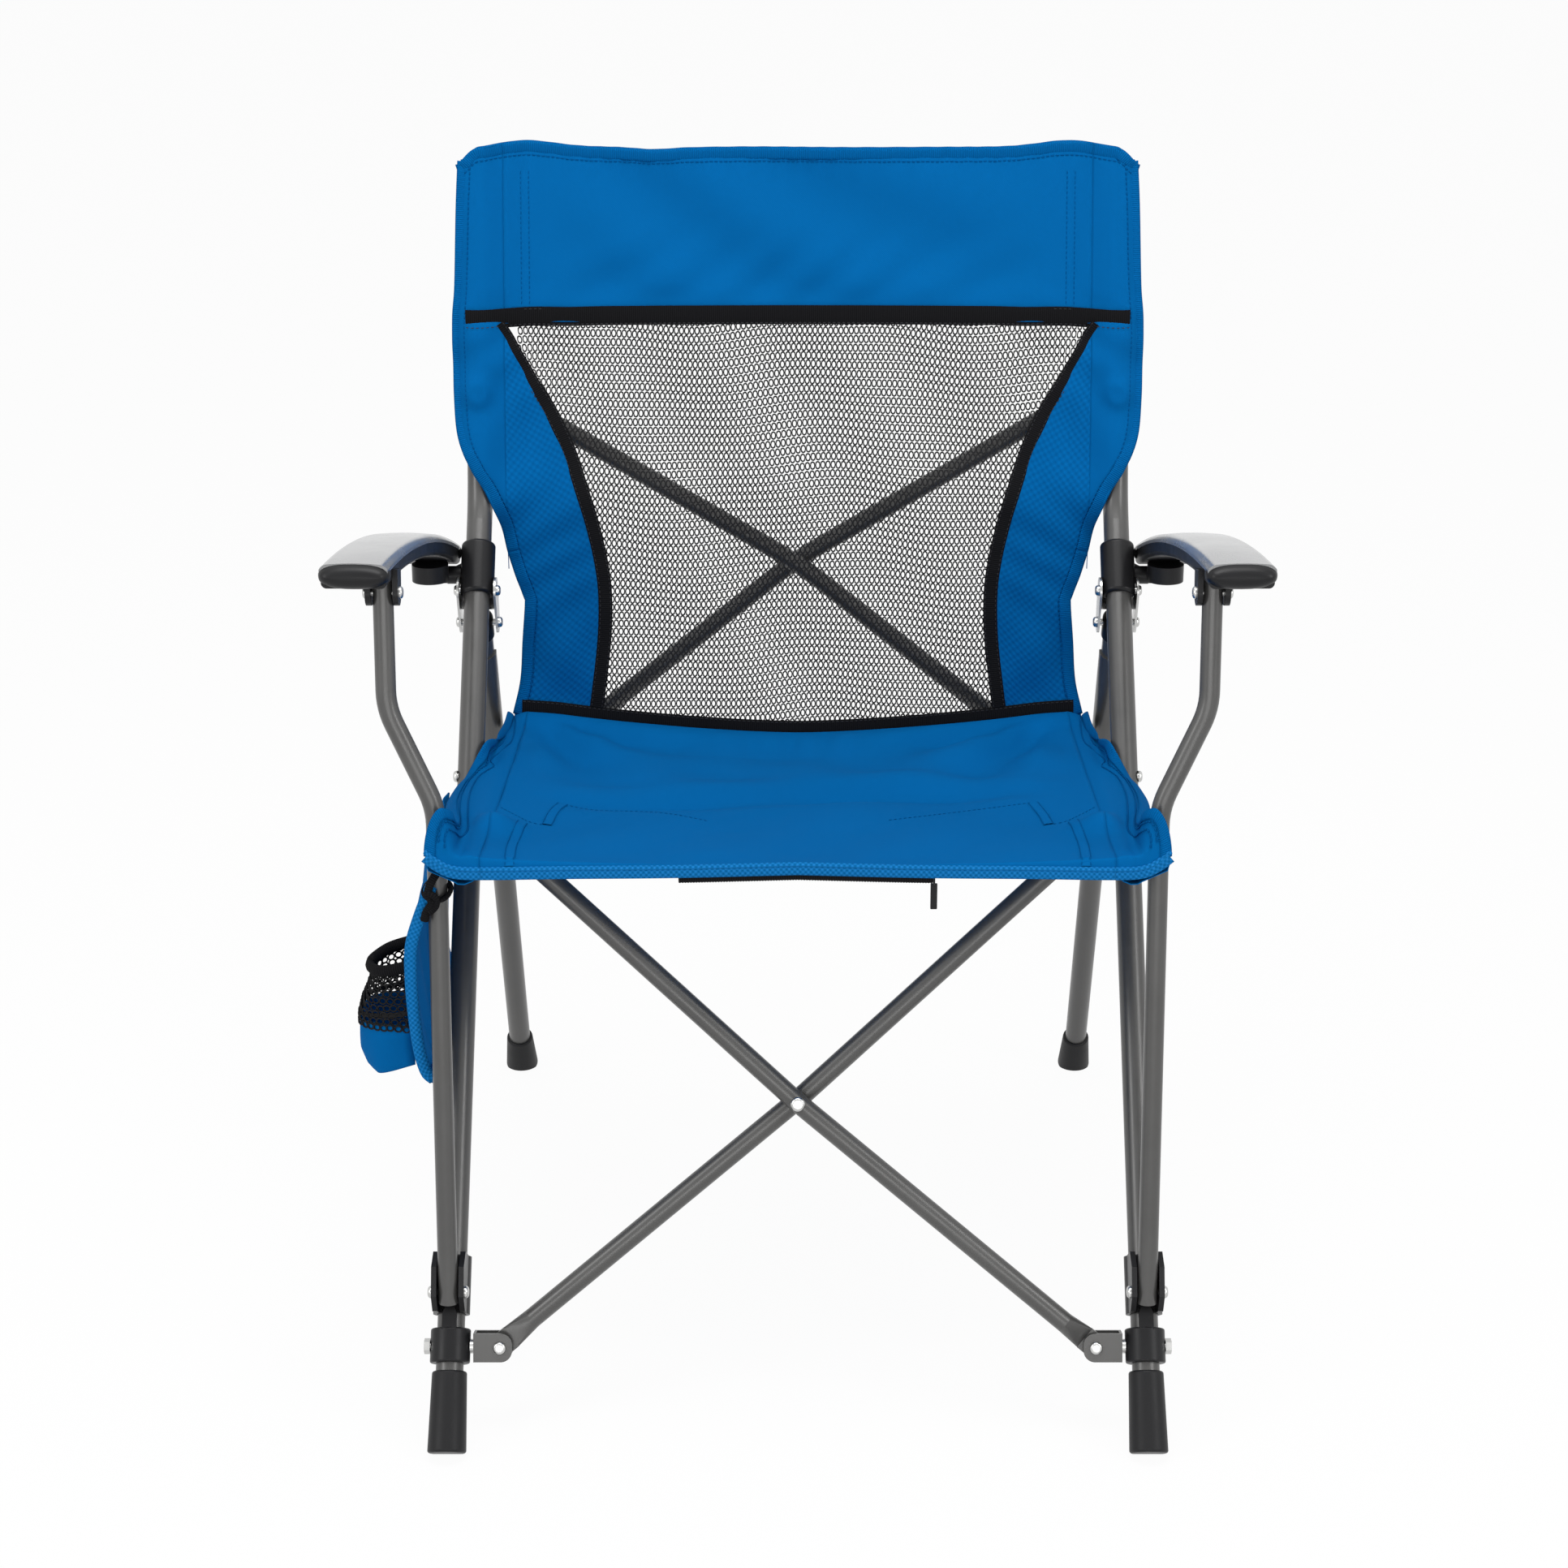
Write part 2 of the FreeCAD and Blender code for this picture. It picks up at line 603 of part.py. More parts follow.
def clevis_rivet(shift):
    """Rivet through both jaws, with a spacer on each side of the flat end."""
    n = square(X_LEAN)
    mid = V(X_PIVOT_X, COLLAR_MID.y, COLLAR_MID.z)
    w = jaw_gap() + CLEVIS_THICK
    body = rivet(mid - n * w, mid + n * w, hd=CLEVIS_HEAD_D, hh=CLEVIS_HEAD_H)
    for s in (-1, 1):
        a = mid + n * (shift + s * (PADDLE_H / 2 + WASHER_GAP))
        body = body.fuse(cyl(a, mid + n * (s * jaw_gap()), CLEVIS_HEAD_D))
    return body.removeSplitter()


def slider():
    """Bracket that runs on the post; two six-sided cheeks hold the arm post's foot."""
    a = spot(POST_X, SLIDER_T - SLIDER_L / 2)
    b = spot(POST_X, SLIDER_T + SLIDER_L / 2)
    inner = ARM_POST_D / 2 + CHEEK_GAP
    cheeks = []
    for s in (-1, 1):
        x0 = POST_X + inner if s > 0 else POST_X - inner - CHEEK_THICK
        pts = [spot(x0, SLIDER_T + t * SLIDER_L, n) for t, n in CHEEK_OUTLINE]
        cheeks.append(prism(pts, UX * CHEEK_THICK))
    body = fuse([cyl(a, b, SLIDER_D)] + cheeks)
    body = body.cut(cyl(a - UP * 2, b + UP * 2, POST_D + 2 * SLIDER_GAP))
    body = body.cut(tab(grow=0.7, down=10.0))
    return body.cut(through_post(ARM_PIVOT_T, ARM_PIVOT_N))


def slider_rivets():
    """Two short rivets, one in each cheek, on the arm post's lower pivot."""
    inner = ARM_POST_D / 2 + CHEEK_GAP
    out = []
    for s in (-1, 1):
        a = spot(POST_X + s * (inner + 0.2), ARM_PIVOT_T, ARM_PIVOT_N)
        b = spot(POST_X + s * (inner + CHEEK_THICK), ARM_PIVOT_T, ARM_PIVOT_N)
        out.append(fuse([cyl(a, b, PIN_D), head(b, UX * s, 9.5)]))
    return Part.makeCompound(out)


def arm_post():
    low = spot(POST_X, ARM_PIVOT_T, ARM_PIVOT_N)
    bump = UX * (ARM_POST_X - POST_X)
    path = [low - ARM_AXIS * ARM_POST_TAIL, low + ARM_AXIS * ARM_KINK_LOW,
            low + ARM_AXIS * ARM_KINK_HIGH + bump, ARM_TOP + ARM_AXIS * ARM_POST_HEAD]
    body = tube(path, ARM_KINK_R, ARM_POST_D, ARM_POST_WALL)
    return body.cut(hole(ARM_TOP - UX * 30, ARM_TOP + UX * 30))


def arch_centre():
    """Centre of the armrest's arch in the side view."""
    a = V(0, ARMREST_FRONT_Y, ARMREST_FRONT_Z)
    b = V(0, ARMREST_MID_Y, ARMREST_MID_Z)
    c = V(0, ARMREST_REAR_Y, ARMREST_REAR_Z)
    return Part.Arc(a, b, c).toShape().Curve.Center, a, c


def armrest_solid(outline):
    """Outline of (x, height) points or a wire turned along the arch."""
    centre, a, c = arch_centre()
    radius = (a - centre).Length
    start = math.degrees(math.atan2(-(a.y - centre.y), a.z - centre.z))
    stop = math.degrees(math.atan2(-(c.y - centre.y), c.z - centre.z))
    outline.translate(V(ARMREST_X, centre.y, centre.z + radius))
    outline.rotate(centre, UX, start)
    solid = Part.Face(outline).revolve(centre, UX, stop - start)
    solid.rotate(V(ARMREST_X, a.y, 0), V(0, 0, 1), ARMREST_SPLAY)
    return solid


def armrest_top():
    w = ARMREST_W / 2
    h = ARMREST_TOP_H
    edges = [Part.LineSegment(V(-w, 0, 0), V(w, 0, 0)).toShape(),
             Part.LineSegment(V(w, 0, 0), V(w, 0, h * 0.35)).toShape(),
             Part.Arc(V(w, 0, h * 0.35), V(w * 0.9, 0, h * 0.75), V(w * 0.72, 0, h * 0.93)).toShape(),
             Part.Arc(V(w * 0.72, 0, h * 0.93), V(0, 0, h * 1.05), V(-w * 0.72, 0, h * 0.93)).toShape(),
             Part.Arc(V(-w * 0.72, 0, h * 0.93), V(-w * 0.9, 0, h * 0.75), V(-w, 0, h * 0.35)).toShape(),
             Part.LineSegment(V(-w, 0, h * 0.35), V(-w, 0, 0)).toShape()]
    return armrest_solid(Part.Wire(edges))


def armrest_outline(w, low, high, r):
    box = Part.makeBox(2 * w, 1, high - low, V(-w, 0, low))
    edges = [e for e in box.Edges if abs(e.tangentAt(0).y) > 0.9 and e.BoundBox.Center.z < low + 0.1]
    box = box.makeFillet(r, edges)
    flat = [f for f in box.Faces if abs(f.normalAt(0, 0).y) > 0.9 and f.BoundBox.Center.y < 0.5]
    return flat[0].OuterWire.copy()


def ear(x0, centre, up, length, r):
    """Flat ear, rounded below, from x0 towards +X."""
    ahead = UX.cross(up)
    slab = prism([centre + ahead * r, centre + ahead * r + up * length,
                  centre - ahead * r + up * length, centre - ahead * r], UX * EAR_THICK)
    body = fuse([slab, cyl(centre, centre + UX * EAR_THICK, 2 * r)])
    body.translate(V(x0 - centre.x, 0, 0))
    return body


def armrest_base():
    w = ARMREST_W / 2 - 1.2
    beam = armrest_solid(armrest_outline(w, -ARMREST_BASE_H, 0, 4.0))
    gap = ARM_POST_D / 2 + EAR_GAP
    up = V(0, 0.2, 1).normalize()
    front_low = V(ARM_TOP.x, ARM_TOP.y, ARM_TOP.z)
    ears = [ear(ARM_POST_X + gap, front_low, up, FRONT_EAR_L, EAR_R),
            ear(ARM_POST_X - gap - EAR_THICK, front_low, up, FRONT_EAR_L, EAR_R)]
    rear = V(0, ARM_REAR.y, ARM_REAR.z)
    rear_up = V(0, -0.1, 1).normalize()
    ears.append(ear(LUG_END_X + EAR_GAP, rear, rear_up, REAR_EAR_L, REAR_EAR_R))
    boss_mid = V(ARMREST_X - BOSS_IN, ARMREST_REAR_Y - BOSS_AHEAD, ARMREST_REAR_Z - BOSS_DOWN)
    boss = cyl(boss_mid - V(0, 0, BOSS_LOW), boss_mid + V(0, 0, BOSS_HIGH), BOSS_D)
    body = beam
    for p in ears + [boss]:
        body = body.fuse(p)
    for p, x0, x1 in ((ARM_TOP, ARM_POST_X - 30, ARM_POST_X + 30),
                      (ARM_REAR, LUG_END_X - 5, LUG_END_X + 20)):
        body = body.cut(hole(V(x0, p.y, p.z), V(x1, p.y, p.z), gap=0.0))
    swing = math.hypot(ARM_POST_HEAD, ARM_POST_D / 2) + HEAD_SWING_GAP
    side = UX * (ARM_POST_D / 2 + EAR_GAP)
    return body.cut(cyl(ARM_TOP - side, ARM_TOP + side, 2 * swing))


def armrest_caps():
    """Black end mouldings, front and rear."""
    w = ARMREST_W / 2 + CAP_PROUD
    centre, a, c = arch_centre()
    out = []
    for p, deg in ((a, 1), (c, -1)):
        outline = armrest_outline(w, -ARMREST_BASE_H - CAP_PROUD, ARMREST_TOP_H * 0.9, 6.0)
        radius = (a - centre).Length
        start = math.degrees(math.atan2(-(p.y - centre.y), p.z - centre.z))
        outline.translate(V(ARMREST_X, centre.y, centre.z + radius))
        outline.rotate(centre, UX, start)
        block = Part.Face(outline).revolve(centre, UX, deg * CAP_SWEEP)
        far = [f for f in block.Faces if abs(f.BoundBox.Center.y - p.y) > CAP_LENGTH * 0.9
               and f.Area > 400]
        if far:
            block = block.makeFillet(CAP_ROUND, far[0].OuterWire.Edges)
        block.rotate(V(ARMREST_X, a.y, 0), V(0, 0, 1), ARMREST_SPLAY)
        out.append(block)
    return Part.makeCompound(out)


def armrest_pins():
    gap = ARM_POST_D / 2 + EAR_GAP + EAR_THICK
    front = rivet(ARM_TOP - UX * gap, ARM_TOP + UX * gap, hd=SIDE_HEAD_D, hh=SMALL_HEAD_H)
    a = V(POST_X + POST_D / 2 + 4, ARM_REAR.y, ARM_REAR.z)
    b = V(LUG_END_X + EAR_GAP + EAR_THICK, ARM_REAR.y, ARM_REAR.z)
    rear = fuse([cyl(a, b, PIN_D), head(b, UX, SIDE_HEAD_D, SMALL_HEAD_H)])
    return Part.makeCompound([front, rear])


def rear_leg():
    a = math.radians(LEG_SPREAD)
    full = LEG_HINGE.z / math.cos(a)
    body = tube([leg_point(LEG_CAP_ROOF - LEG_CAP_UP), leg_point(full - 12)], 0, LEG_D, LEG_WALL)
    body = body.cut(hole(LEG_HINGE - UX * 40, LEG_HINGE + UX * 40))
    b = leg_point(STAY_BOLT)
    return body.cut(hole(b - UX * 40, b + UX * 40, gap=0.0))


def leg_cap():
    body = cyl(leg_point(-LEG_CAP_UP), leg_point(LEG_CAP_DOWN), LEG_CAP_D)
    body = body.makeFillet(3.0, [e for e in body.Edges if len(e.Vertexes) == 1])
    body = body.cut(cyl(leg_point(LEG_CAP_ROOF - LEG_CAP_UP), leg_point(LEG_CAP_DOWN + 1), LEG_D))
    return body.cut(hole(LEG_HINGE - UX * 40, LEG_HINGE + UX * 40))


def leg_stay():
    """Channel that clasps the leg's front, bolted through it at seat height."""
    r = LEG_D / 2
    a = leg_point(STAY_START)
    b = leg_point(STAY_END)
    shell = cyl(a, b, LEG_D + 2 * STAY_THICK).cut(cyl(a, b, LEG_D))
    axis = (b - a).normalize()
    front = UX.cross(axis)
    if front.y > 0:
        front = front * -1
    keep_box = prism([a + UX * 20 + front * 40, a - UX * 20 + front * 40,
                      a - UX * 20 - front * (r * 0.25), a + UX * 20 - front * (r * 0.25)],
                     b - a)
    shell = shell.common(keep_box)
    p = leg_point(STAY_BOLT)
    return shell.cut(hole(p - UX * 40, p + UX * 40, gap=0.0))


def stay_bolt():
    p = leg_point(STAY_BOLT)
    w = LEG_D / 2 + STAY_THICK
    return rivet(p - UX * w, p + UX * w, d=5.0, hd=8.5, hh=2.4)


def rear_foot():
    a = math.radians(LEG_SPREAD)
    full = LEG_HINGE.z / math.cos(a)
    boot = cone(leg_point(full - REAR_FOOT_L), leg_point(full - 1.5), REAR_FOOT_TOP_D, REAR_FOOT_END_D)
    boot = boot.makeFillet(2.0, [e for e in boot.Edges if len(e.Vertexes) == 1])
    boot = ground_trim(boot)
    return boot.cut(cyl(leg_point(full - REAR_FOOT_L - 1), leg_point(full - 12), LEG_D))


def seat_rail():
    body = tube([RAIL_PIVOT + RAIL_AXIS * RAIL_FRONT, RAIL_PIVOT - RAIL_AXIS * RAIL_BACK],
                0, RAIL_D, RAIL_WALL)
    p = RAIL_PIVOT + RAIL_AXIS * RAIL_STUD
    stud = cyl(p + UX * (RAIL_D / 2 - 0.8), p + UX * (POST_X - RAIL_X - ARM_POST_D / 2 - 0.5), 8.0)
    return fuse([body, stud]).cut(hole(RAIL_PIVOT - UX * 30, RAIL_PIVOT + UX * 30))


def front_scissor(sign):
    """The tube from the right foot leans behind, the one from the left foot in front."""
    u = unit(X_LEAN)
    n = square(X_LEAN)
    crossing = V(0, COLLAR_MID.y, COLLAR_MID.z) + u * X_LOW_H
    low = (-sign * X_PIVOT_X, -X_LOW_H)
    high = (sign * X_PIVOT_X, X_UP_H)
    shape = scissor(low, high, sign * X_FLAT_SHIFT)
    shape = placed(shape, crossing - n * (sign * X_OFFSET), UX, u, n)
    gap = PIN_GAP if sign > 0 else 0.0
    return shape.cut(hole(crossing - n * 40, crossing + n * 40, gap=gap))


def front_x_rivet():
    n = square(X_LEAN)
    crossing = V(0, COLLAR_MID.y, COLLAR_MID.z) + unit(X_LEAN) * X_LOW_H
    w = X_OFFSET + X_D / 2 + 0.4
    return rivet(crossing - n * w, crossing + n * w, hd=11.0, hh=3.0)


def rear_scissor(sign):
    n = V(0, -1, 0)
    crossing = V(0, REAR_X_Y, REAR_X_Z)
    low = (sign * REAR_X_LOW_X, -REAR_X_LOW_H)
    high = (-sign * REAR_X_UP_X, REAR_X_UP_H)
    shape = scissor(low, high, -sign * X_FLAT_SHIFT)
    shape = placed(shape, crossing + n * (sign * X_OFFSET), UX, V(0, 0, 1), n)
    if sign > 0:
        return shape
    return shape.cut(hole(crossing - n * 40, crossing + n * 40, gap=0.0))


def rear_x_rivet():
    """Carried by the rearmost tube; it stops short of the other."""
    a = V(0, REAR_X_Y + 1.0, REAR_X_Z)
    b = V(0, REAR_X_Y + X_OFFSET + X_D / 2 + 0.3, REAR_X_Z)
    return fuse([cyl(a, b, PIN_D), head(b, V(0, 1, 0), 10.0, 3.0)])


def rear_flat_y(side):
    """Where the pivoted flat end of each rear tube lies."""
    shift = X_OFFSET - X_FLAT_SHIFT
    return REAR_X_Y - shift if side == "right" else REAR_X_Y + shift


def front_x_end_rivets():
    """Rivets in the scissor tubes' upper flat ends."""
    u = unit(X_LEAN)
    n = square(X_LEAN)
    out = {}
    for side, sign in (("right", 1), ("left", -1)):
        p = V(sign * X_PIVOT_X, COLLAR_MID.y, COLLAR_MID.z) + u * (X_LOW_H + X_UP_H)
        p = p - n * (sign * (X_OFFSET - X_FLAT_SHIFT))
        w = PADDLE_H / 2
        out[side] = rivet(p - n * w, p + n * w, hd=SIDE_HEAD_D, hh=SMALL_HEAD_H)
    return out


def seat_sheet():
    half = RAIL_X - RAIL_D / 2 - SHEET_GAP
    a = RAIL_PIVOT + RAIL_AXIS * SEAT_FRONT
    b = RAIL_PIVOT - RAIL_AXIS * SEAT_BACK
    thick = V(0, 0, SEAT_THICK)
    pts = [V(-half, a.y, a.z), V(half, a.y, a.z), V(half, b.y, b.z), V(-half, b.y, b.z)]
    sheet = prism(pts, thick)
    mid = COLLAR_MID + unit(X_LEAN) * (X_LOW_H + X_UP_H)
    for s in (-1, 1):
        x0 = SEAT_NOTCH_X if s > 0 else -half - 1
        notch = Part.makeBox(half + 1 - SEAT_NOTCH_X, 2 * SEAT_NOTCH_Y, 60,
                             V(x0, mid.y - SEAT_NOTCH_Y, mid.z - 30))
        sheet = sheet.cut(notch)
        x0 = half - SEAT_RELIEF if s > 0 else -half - 1
        relief = Part.makeBox(SEAT_RELIEF + 1, 2 * SEAT_RELIEF, 60,
                              V(x0, RAIL_PIVOT.y - SEAT_RELIEF, RAIL_PIVOT.z - 30))
        sheet = sheet.cut(relief)
    return sheet


def back_band(thick, shift):
    """Bent sheet along the posts' upper part, wide in X."""
    bend = spot(0, POST_BEND_T)
    top = bend + unit(POST_TOP_LEAN) * POST_TOP_L
    low = V(0, BACK_LOW_Y, BACK_LOW_Z - 2)
    wide = POST_X + 20
    pts = []
    for p in (low, bend, top):
        pts.append(V(-wide, p.y + shift - thick / 2, p.z))
    for p in (top, bend, low):
        pts.append(V(-wide, p.y + shift + thick / 2, p.z))
    return prism(pts, UX * (2 * wide))


def back_outline(points, grow=0.0):
    right = [V(x + (grow if x > 0 else 0), 0, z) for x, z in points]
    left = [V(-p.x, 0, p.z) for p in reversed(right) if p.x > 0]
    shape = face(right + left).extrude(V(0, 1000, 0))
    return shape


def side_line(rows):
    """Half outline from its side edge: level across the top and the bottom."""
    side = [(SLEEVE_X - inset, z) for inset, z in rows]
    return [(0.0, side[0][1])] + side + [(0.0, side[-1][1])]


def back_edge():
    """Half outline of the back, with its top edge sagging between the posts."""
    top = post_top(POST_TOP_L).z + BACK_ABOVE_POST
    below = side_line(BACK_SIDE)[1:]
    return [(0.0, top - BACK_TOP_SAG), (SLEEVE_X - BACK_TOP_EASE_IN, top - BACK_TOP_EASE),
            (SLEEVE_X, top)] + below


def back_fabric():
    sheet = back_band(BACK_THICK, 0).common(back_outline(back_edge()))
    return sheet.cut(back_outline(side_line(MESH_SIDE)))


def back_mesh():
    panel = back_band(MESH_THICK, 0).common(back_outline(side_line(MESH_SIDE), -MESH_SEAM))
    lift = V(0, 0, MESH_SEAM)
    low = MESH_SIDE[-1][1]
    high = MESH_SIDE[0][1]
    trim = Part.makeBox(800, 2000, high - low - 2 * MESH_SEAM, V(-400, -500, low) + lift)
    return panel.common(trim)


def organizer_panel():
    x0 = -BAG_X - BAG_THICK
    box = Part.makeBox(BAG_THICK, BAG_BACK_Y - BAG_FRONT_Y, BAG_TOP_Z - BAG_LOW_Z,
                       V(x0, BAG_FRONT_Y, BAG_LOW_Z))
    corners = [e for e in box.Edges if abs(e.tangentAt(0).x) > 0.9]
    return box.makeFillet(12.0, corners)


def cup_pocket():
    x1 = -BAG_X - BAG_THICK - 0.2
    outer = Part.makeBox(CUP_DEPTH, CUP_L, CUP_H, V(x1 - CUP_DEPTH, BAG_FRONT_Y + 4, BAG_LOW_Z + 2))
    edges = [e for e in outer.Edges if abs(e.tangentAt(0).z) > 0.9
             and e.BoundBox.Center.x < x1 - CUP_DEPTH + 1]
    outer = outer.makeFillet(CUP_ROUND, edges)
    inner = Part.makeBox(CUP_DEPTH - 2 * CUP_WALL, CUP_L - 2 * CUP_WALL, CUP_H,
                         V(x1 - CUP_DEPTH + CUP_WALL, BAG_FRONT_Y + 4 + CUP_WALL,
                           BAG_LOW_Z + 2 + CUP_WALL))
    edges = [e for e in inner.Edges if abs(e.tangentAt(0).z) > 0.9
             and e.BoundBox.Center.x < x1 - CUP_DEPTH + CUP_WALL + 1]
    inner = inner.makeFillet(CUP_ROUND - CUP_WALL, edges)
    return outer.cut(inner)


def organizer_strap():
    """Short webbing loop round the right arm post that holds the bag's front corner."""
    low = spot(POST_X, ARM_PIVOT_T, ARM_PIVOT_N)
    s = (STRAP_Z - low.z) / ARM_AXIS.z
    p = low + ARM_AXIS * s
    a = p - ARM_AXIS * (STRAP_W / 2)
    b = p + ARM_AXIS * (STRAP_W / 2)
    inner = ARM_POST_D + 1.0
    ring = cyl(a, b, inner + 2 * STRAP_THICK).cut(cyl(a, b, inner))
    x0 = p.x + inner / 2 + 0.3
    tail = Part.makeBox(BAG_X - 0.3 - x0, STRAP_THICK, STRAP_W, V(x0, p.y, p.z - STRAP_W / 2))
    return mirrored(fuse([ring, tail]))


def zip_place():
    p = RAIL_PIVOT + RAIL_AXIS * (SEAT_FRONT - 6)
    return V(ZIP_X, p.y, p.z - 0.3)


def zip_slider():
    p = zip_place()
    w, d, h = ZIP_BODY
    box = Part.makeBox(w, d, h, V(p.x - w / 2, p.y - d / 2, p.z - h))
    box = box.makeFillet(1.2, [e for e in box.Edges if abs(e.tangentAt(0).z) > 0.9])
    eye = Part.makeTorus(2.6, 0.8, V(p.x, p.y, p.z - h - 1.6), V(0, 1, 0))
    return fuse([box, eye])


def pull_pivot():
    p = zip_place()
    return V(p.x, p.y, p.z - ZIP_BODY[2] - 1.6 - 2.6)


def zip_pull():
    """Wire ring with a slim tab hanging from the slider's eye."""
    q = pull_pivot()
    r = PULL_RING_D / 2
    centre = V(q.x, q.y, q.z - r + 1.6)
    ring = Part.makeTorus(r, PULL_WIRE / 2, centre, UX)
    top = centre.z - r + PULL_WIRE / 2
    slab = Part.makeBox(PULL_W, PULL_THICK, PULL_L, V(q.x - PULL_W / 2, q.y - PULL_THICK / 2,
                                                      top - PULL_L))
    slab = slab.makeFillet(0.7, [e for e in slab.Edges if abs(e.tangentAt(0).y) > 0.9])
    return fuse([ring, slab])


def main():
    os.makedirs("parts", exist_ok=True)
    pair("back_post", back_post())
    pair("front_foot", front_foot())
    pair("lower_collar", lower_collar())
    pair("collar_bolt", collar_bolt())
    pair("upper_collar", upper_collar())
    pair("leg_bracket", leg_bracket())
    rivets = side_rivets()
    keep("left_post_rivets", Part.makeCompound(rivets + [rear_x_pin(rear_flat_y("left"))]))
    pins = rivets + [rear_x_pin(rear_flat_y("right"))]
    keep("right_post_rivets", Part.makeCompound([mirrored(p) for p in pins]))
    pair("lock_slider", slider())
    pair("slider_rivets", slider_rivets())
    pair("arm_post", arm_post())
    pair("armrest_top", armrest_top())
    pair("armrest_base", armrest_base())
    pair("armrest_caps", armrest_caps())
    pair("armrest_pins", armrest_pins())
    pair("rear_leg", rear_leg())
    pair("leg_cap", leg_cap())
    pair("leg_stay", leg_stay())
    pair("stay_bolt", stay_bolt())
    pair("rear_foot", rear_foot())
    pair("seat_rail", seat_rail())
    shift = X_OFFSET - X_FLAT_SHIFT
    pair("x_clevis", clevis())
    keep("left_clevis_rivet", clevis_rivet(shift))
    keep("right_clevis_rivet", mirrored(clevis_rivet(-shift)))
    ends = front_x_end_rivets()
    keep("front_x_tube_right", front_scissor(1))
    keep("front_x_tube_left", front_scissor(-1))
    keep("front_x_rivet", front_x_rivet())
    keep("front_x_end_rivet_right", ends["right"])
    keep("front_x_end_rivet_left", ends["left"])
    keep("rear_x_tube_right", rear_scissor(1))
    keep("rear_x_tube_left", rear_scissor(-1))
    keep("rear_x_rivet", rear_x_rivet())
    keep("seat_fabric", seat_sheet())
    keep("back_fabric", back_fabric())
    keep("back_mesh", back_mesh())
    keep("organizer_panel", organizer_panel())
    keep("cup_pocket", cup_pocket())
    keep("organizer_strap", organizer_strap())
    keep("zip_slider", zip_slider())
    keep("zip_pull", zip_pull())
    whole = FreeCAD.BoundBox()
    for shape in PARTS.values():
        whole.add(shape.optimalBoundingBox(False))
    move = V(-whole.Center.x, -whole.Center.y, -whole.ZMin)
    for name, shape in PARTS.items():
        out = shape.copy()
        out.translate(move)
        out.exportStep("parts/" + name + ".step")
    report(whole, move)


def report(whole, move):
    """Print the joints' places in the frame of the finished files."""
    places = {"collar_bolt": COLLAR_MID, "leg_hinge": LEG_HINGE, "rail_pivot": RAIL_PIVOT,
              "arm_rear": V(POST_X, ARM_REAR.y, ARM_REAR.z), "arm_top": ARM_TOP,
              "arm_low": spot(POST_X, ARM_PIVOT_T, ARM_PIVOT_N),
              "x_low": V(X_PIVOT_X, COLLAR_MID.y, COLLAR_MID.z),
              "x_cross": V(0, COLLAR_MID.y, COLLAR_MID.z) + unit(X_LEAN) * X_LOW_H,
              "x_up": V(X_PIVOT_X, COLLAR_MID.y, COLLAR_MID.z) + unit(X_LEAN) * (X_LOW_H + X_UP_H),
              "rear_x_up": V(REAR_X_UP_X, REAR_X_Y, REAR_X_Z + REAR_X_UP_H),
              "rear_x_low": V(REAR_X_LOW_X, REAR_X_Y, REAR_X_Z - REAR_X_LOW_H),
              "rear_x_cross": V(0, REAR_X_Y, REAR_X_Z), "pull": pull_pivot(),
              "post_up": spot(POST_X, POST_BEND_T)}
    for name, p in places.items():
        q = p + move
        print("place %s %.4f %.4f %.4f" % (name, q.x, q.y, q.z))
    print("size %.2f %.2f %.2f move %.4f %.4f %.4f" % (
        whole.XLength, whole.YLength, whole.ZLength, move.x, move.y, move.z))
    for name, shape in PARTS.items():
        if not shape.isValid():
            print("not valid:", name)
        if shape.Volume < 1:
            print("empty:", name)


main()
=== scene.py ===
import json
import math

import bmesh
import bpy
import numpy as np
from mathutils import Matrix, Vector, noise
from mathutils.bvhtree import BVHTree


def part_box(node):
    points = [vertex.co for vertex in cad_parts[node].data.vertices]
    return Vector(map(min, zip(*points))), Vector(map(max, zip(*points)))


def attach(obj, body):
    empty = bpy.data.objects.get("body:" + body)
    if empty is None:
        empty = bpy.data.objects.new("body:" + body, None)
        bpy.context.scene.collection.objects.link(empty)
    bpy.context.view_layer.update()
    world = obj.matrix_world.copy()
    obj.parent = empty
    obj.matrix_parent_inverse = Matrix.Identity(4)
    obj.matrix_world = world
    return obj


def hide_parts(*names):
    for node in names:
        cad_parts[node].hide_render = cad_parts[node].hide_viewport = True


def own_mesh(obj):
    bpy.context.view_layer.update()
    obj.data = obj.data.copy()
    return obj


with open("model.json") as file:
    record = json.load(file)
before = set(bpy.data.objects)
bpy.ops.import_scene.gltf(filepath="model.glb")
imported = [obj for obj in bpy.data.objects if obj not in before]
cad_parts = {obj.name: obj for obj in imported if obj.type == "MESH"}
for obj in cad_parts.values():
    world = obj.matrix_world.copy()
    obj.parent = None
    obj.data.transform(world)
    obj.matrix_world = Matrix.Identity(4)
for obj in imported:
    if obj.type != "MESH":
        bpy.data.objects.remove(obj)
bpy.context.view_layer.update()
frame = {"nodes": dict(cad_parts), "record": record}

# ---------------------------------------------------------------- room
# A pale floor under an even white surround, four soft lamps and the camera, which looks down
# on the chair from in front.
scene = bpy.context.scene
scene.view_settings.view_transform = "Standard"


